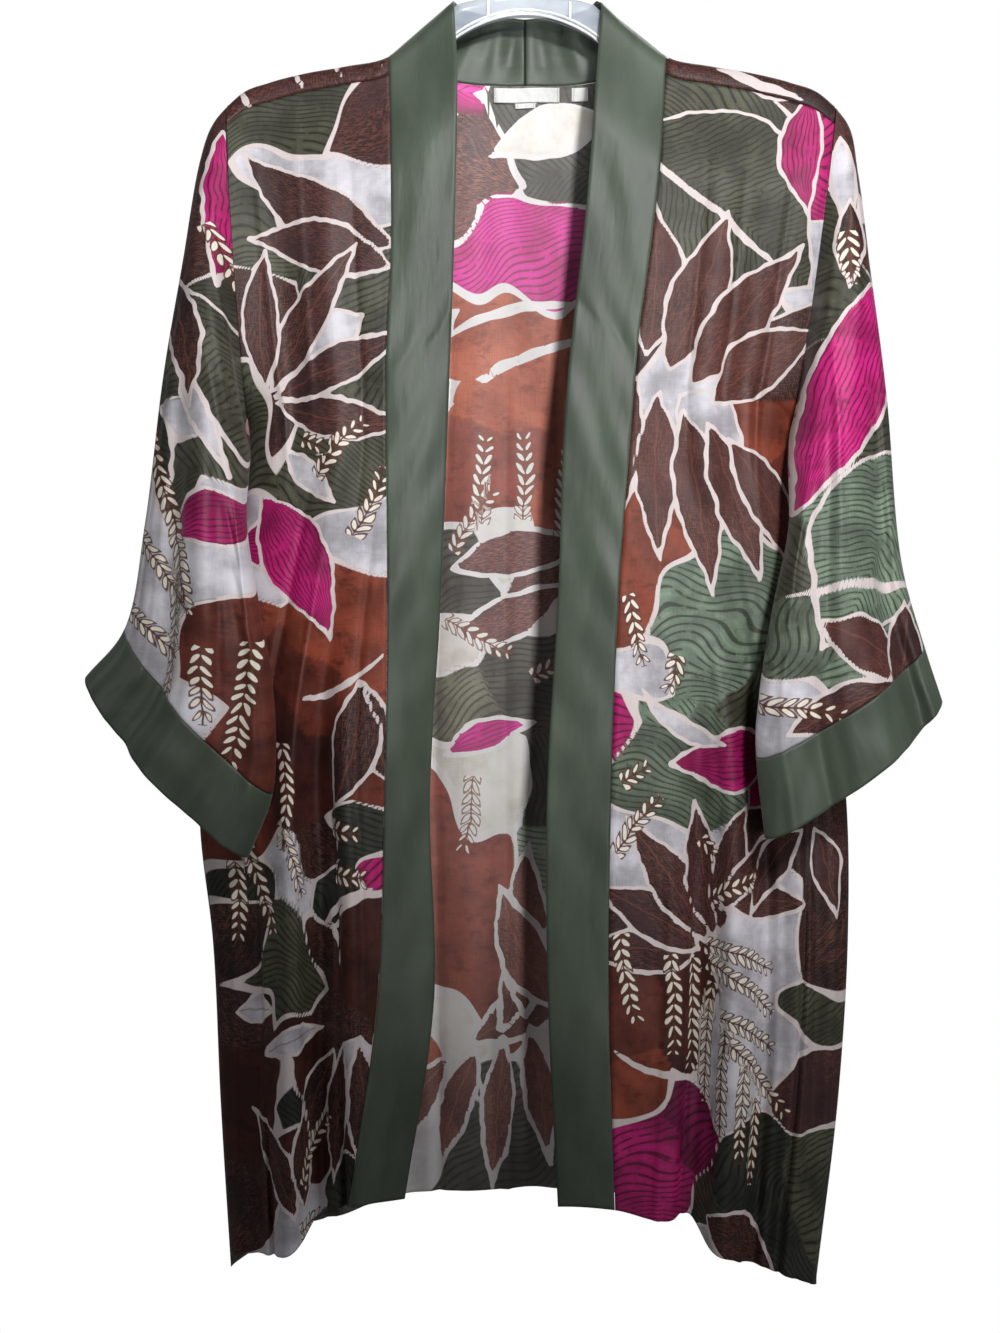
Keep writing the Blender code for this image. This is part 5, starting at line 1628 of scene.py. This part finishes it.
Patchwork = namedtuple("Patchwork", "node left right top bottom")
LABELS = [
    Patchwork("label_main", -0.0240, 0.0265, -0.1362, -0.1470),
    Patchwork("label_tab", -0.0075, 0.0080, -0.1474, -0.1512),
    Patchwork("label_size", 0.0360, 0.0485, -0.1362, -0.1462),
]


@dataclass
class Label:
    """A bare woven label under the neck seam, inside the back."""
    spot: Patchwork
    columns: int = 36
    rows: int = 14
    wall: float = 0.0004
    clear: float = 0.0022

    def build(self, tape: bpy.types.Material) -> bpy.types.Object:
        """Make the label: a flat strip that follows the back, with a slight wave."""
        spot = self.spot
        x = np.linspace(spot.left, spot.right, self.columns)[None, :]
        z = np.linspace(spot.bottom, spot.top, self.rows)[:, None]
        across = x / abs(OUTLINE[0].left_side) + np.zeros_like(z)
        drop = smooth_table(RIDGE, "across", "height", np.abs(across)) - z
        fall = np.arccos(1.0 - drop / ARMHOLE_HALF) / PI * ARMHOLE_FALL
        points = Drape.body(across, -fall, fine=False)
        points[..., 0] = x + np.zeros_like(z)
        points[..., 2] = z + 0.0003 * np.sin(x * 120.0)
        points[..., 1] -= self.clear + 0.0003 * np.sin(x * 260.0)
        end = np.minimum(x - spot.left, spot.right - x) + np.zeros_like(z)
        cloth = np.stack([x + np.zeros_like(z), z + np.zeros_like(x), end], -1)
        strip = grid_piece(spot.node + "_tape", points, {"cloth": cloth}, [tape], self.wall)
        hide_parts(spot.node)
        width, height = spot.right - spot.left, spot.top - spot.bottom
        width * height
        return strip


def swept_piece(name: str, loops: Sequence[np.ndarray], material: bpy.types.Material) -> bpy.types.Object:
    """A closed solid piece from stacks of rings, each stack capped at its two ends.

    Args:
        name: the piece's name.
        loops: for each stack, its points: stations, points round, three.
        material: its finish.

    Returns:
        The object.
    """
    vertices, faces, count = [], [], 0
    for loop in loops:
        stations, around = loop.shape[:2]
        quads = grid_faces(stations, around, True, count)
        ends = [quads[0, ::-1, 0].tolist(), quads[-1, :, 3].tolist()]
        faces.extend(quads.reshape(-1, 4).tolist() + ends)
        vertices.append(loop.reshape(-1, 3))
        count += stations * around
    mesh = bpy.data.meshes.new(name)
    mesh.from_pydata(np.concatenate(vertices), [], faces)
    mesh.validate()
    mesh.shade_smooth()
    mesh.materials.append(material)
    thing = in_scene(name, mesh)
    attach(thing, "root")
    return thing


@dataclass
class Hanger:
    """The clear plate with its smooth arch, and the rims and ribs moulded on its front, whose near-white
    colour is painted highlight.
    """
    half_span: float = 0.1980
    thickness: float = 0.008
    rim_span: float = 0.096
    radius: float = 0.0011
    ribs: tuple[float, float] = (-0.028, 0.034)

    @staticmethod
    def edges(x: np.ndarray) -> tuple[np.ndarray, np.ndarray]:
        """Heights of the plate's upper and lower edges; the lower is a parabola inside the neck."""
        reach = np.abs(x)
        across = reach / abs(OUTLINE[0].left_side)
        upper = smooth_table(RIDGE, "across", "height", across) - 0.0017
        neck = smooth_step(0.03, 0.07, reach) * (1.0 - smooth_step(0.103, 0.125, reach))
        upper = np.minimum(upper - 0.0040 * neck, -0.0665 - 0.25 * reach)
        plate = 0.0205 + 0.011 * smooth_step(0.0, 0.09, reach) - 0.014 * smooth_step(0.10, 0.21, reach)
        arch = -0.0888 - 6.4 * reach ** 2
        return upper, arch + (upper - plate - arch) * smooth_step(0.045, 0.075, reach)

    def tube(self, path: np.ndarray, around: int = 10) -> np.ndarray:
        """Rings of a round tube: a circle carried along the path in its normal plane."""
        way = np.gradient(path, axis=0)
        way /= np.linalg.norm(way, axis=1, keepdims=True)
        side = np.broadcast_to(np.array([0.0, 1.0, 0.0]), way.shape)
        up = np.cross(way, side)
        turn = np.linspace(0.0, 2.0 * PI, around, endpoint=False)
        cosine, sine = np.cos(turn)[None, :, None], np.sin(turn)[None, :, None]
        return path[:, None, :] + self.radius * (cosine * side[:, None, :] + sine * up[:, None, :])

    def build(self, plastic: bpy.types.Material, pale: bpy.types.Material) -> None:
        """Make the plate, as rounded upright sections along the arm, and what is moulded on it."""
        x = np.linspace(-self.half_span, self.half_span, 161)
        upper, lower = self.edges(x)
        turn = np.linspace(0.0, 2.0 * PI, 28, endpoint=False)
        across = self.thickness / 2.0 * np.sign(np.cos(turn)) * np.abs(np.cos(turn)) ** 0.30
        rise = np.sign(np.sin(turn)) * np.abs(np.sin(turn)) ** 0.55
        half = (upper - lower) / 2.0
        height = (upper - half)[:, None] + half[:, None] * rise[None, :]
        section = np.stack(np.broadcast_arrays(x[:, None], across[None, :], height), -1)
        plate = swept_piece("hanger_plate", [section], plastic)
        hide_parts("hanger_body")
        x = np.linspace(-self.rim_span, self.rim_span, 121)
        upper, lower = self.edges(x)
        front = np.full_like(x, -self.thickness / 2.0 - 0.0003)
        paths = [np.stack([x, front, lower + lift], -1) for lift in (0.0012, 0.0046)]
        for rib in self.ribs:
            top, foot = self.edges(np.array([rib]))
            z = np.linspace(foot[0] + 0.005, top[0] - 0.003, 12)
            paths.append(np.stack([np.full_like(z, rib), np.full_like(z, front[0]), z], -1))
        # The rim and rib tubes are real mouldings; their near-white finish is painted highlight on the clear
        # plastic's edges.
        rim = swept_piece("hanger_rim_painted_highlight", [self.tube(path) for path in paths], pale)


Lamp = namedtuple("Lamp", "name place aim size power")
LAMPS = [
    Lamp("key", (1.6, -1.4, 0.8), (0.0, 0.0, -0.5), 0.8, 15.0),
    Lamp("fill", (-1.8, -1.4, 0.6), (0.0, 0.0, -0.5), 1.0, 5.0),
    Lamp("back", (0.4, 2.2, 0.9), (0.0, 0.0, -0.5), 1.8, 38.0),
]
Spot = namedtuple("Spot", "name place aim cone power")
SPOTS = [
    Spot("chest", (0.45, -2.0, 0.40), (0.11, 0.0, -0.23), 34.0, 156.0),
    Spot("hem", (1.0, -1.7, -0.5), (0.22, 0.0, -0.84), 18.0, 17.0),
    Spot("neck", (0.05, -1.6, 0.02), (0.0, 0.02, -0.095), 8.0, 36.0),
]


@dataclass
class Studio:
    """The camera, the floor and the soft lights."""
    distance: float = 1.75
    height: float = -0.582
    lens: float = 62.2
    shift: float = -0.01876
    floor: float = -1.62
    ambient: float = 0.09

    def camera(self) -> None:
        """A level camera straight in front."""
        camera = bpy.data.cameras.new("camera")
        camera.lens, camera.sensor_width, camera.shift_x = self.lens, 36.0, self.shift
        thing = in_scene("camera", camera)
        thing.location = (0.0, -self.distance, self.height)
        thing.rotation_euler = (PI / 2.0, 0.0, 0.0)
        bpy.context.scene.camera = thing

    @staticmethod
    def hang(light: bpy.types.Light, row: Any) -> None:
        """Put a light in its row's place, so that it looks at the row's aim."""
        light.energy = row.power
        thing = in_scene(row.name, light)
        place = Vector(row.place)
        thing.location = place
        thing.rotation_euler = (Vector(row.aim) - place).to_track_quat("-Z", "Y").to_euler()

    def lights(self) -> None:
        """Square area lights, and round spots that fade out from their middles."""
        for lamp in LAMPS:
            light = bpy.data.lights.new(lamp.name, "AREA")
            light.size = lamp.size
            self.hang(light, lamp)
        for spot in SPOTS:
            light = bpy.data.lights.new(spot.name, "SPOT")
            light.spot_size, light.spot_blend = np.radians(spot.cone), 0.85
            light.shadow_soft_size = 0.10
            self.hang(light, spot)

    def ground(self, rows: int = 24, around: int = 96) -> None:
        """A round floor of rings, with its middle closed by one face."""
        finish = PaleFloor()
        turn = np.linspace(0.0, 2.0 * PI, around, endpoint=False)
        rings = np.linspace(0.02, finish.radius, rows)
        points = np.stack([rings[:, None] * np.cos(turn), rings[:, None] * np.sin(turn),
                           np.full((rows, around), self.floor)], -1)
        faces = grid_faces(rows, around, True)[..., [0, 3, 2, 1]].reshape(-1, 4).tolist()
        mesh = bpy.data.meshes.new("floor")
        mesh.from_pydata(points.reshape(-1, 3), [], faces + [list(range(around))])
        mesh.materials.append(finish.build())
        floor = in_scene("floor", mesh)

    def world(self) -> None:
        """A world that is white to the camera and dim to everything else."""
        world = bpy.data.worlds.new("studio")
        world.use_nodes = True
        tree = world.node_tree
        background = tree.nodes["Background"]
        background.inputs["Color"].default_value = (1.0, 1.0, 1.0, 1.0)
        path = tree.nodes.new("ShaderNodeLightPath")
        level = tree.nodes.new("ShaderNodeMapRange")
        level.inputs["To Min"].default_value = self.ambient
        level.inputs["To Max"].default_value = 1.0
        tree.links.new(path.outputs["Is Camera Ray"], level.inputs["Value"])
        tree.links.new(level.outputs["Result"], background.inputs["Strength"])
        bpy.context.scene.world = world

    def build(self) -> None:
        """Set the stage."""
        self.camera()
        self.ground()
        self.lights()
        self.world()
        bpy.context.scene.view_settings.view_transform = "Standard"


def main() -> None:
    """Build the studio and every piece in order."""
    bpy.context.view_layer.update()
    Studio().build()
    cloths = [LeafPrint("leaf_print").build(), LeafPrint("leaf_print_wrong", wrong_side=True).build()]
    satin, tape, plastic, wire = (
        finish.build() for finish in (Satin(), LabelTape(), ClearPlastic(), BrightWire()))
    Back().build(cloths)
    for side in (-1, 1):
        Front(side).build(cloths)
        FrontBand(side).build(satin)
        Sleeve(side).build(cloths)
        Cuff(side).build(satin)
    for spot in LABELS:
        Label(spot).build(tape)
    # The rims' near-white finish is painted highlight, standing in for the glints on the plastic's moulded
    # edges.
    rim = ClearPlastic("hanger_rim_painted_highlight", low=(0.86, 0.88, 0.90, 1), high=(0.95, 0.96, 0.97, 1), solid=0.80)
    Hanger().build(plastic, rim.build())
    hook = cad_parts["hanger_hook"].data.materials
    hook.clear()
    hook.append(wire)


if __name__ == "__main__":
    logging.basicConfig(level=logging.INFO)
    main()
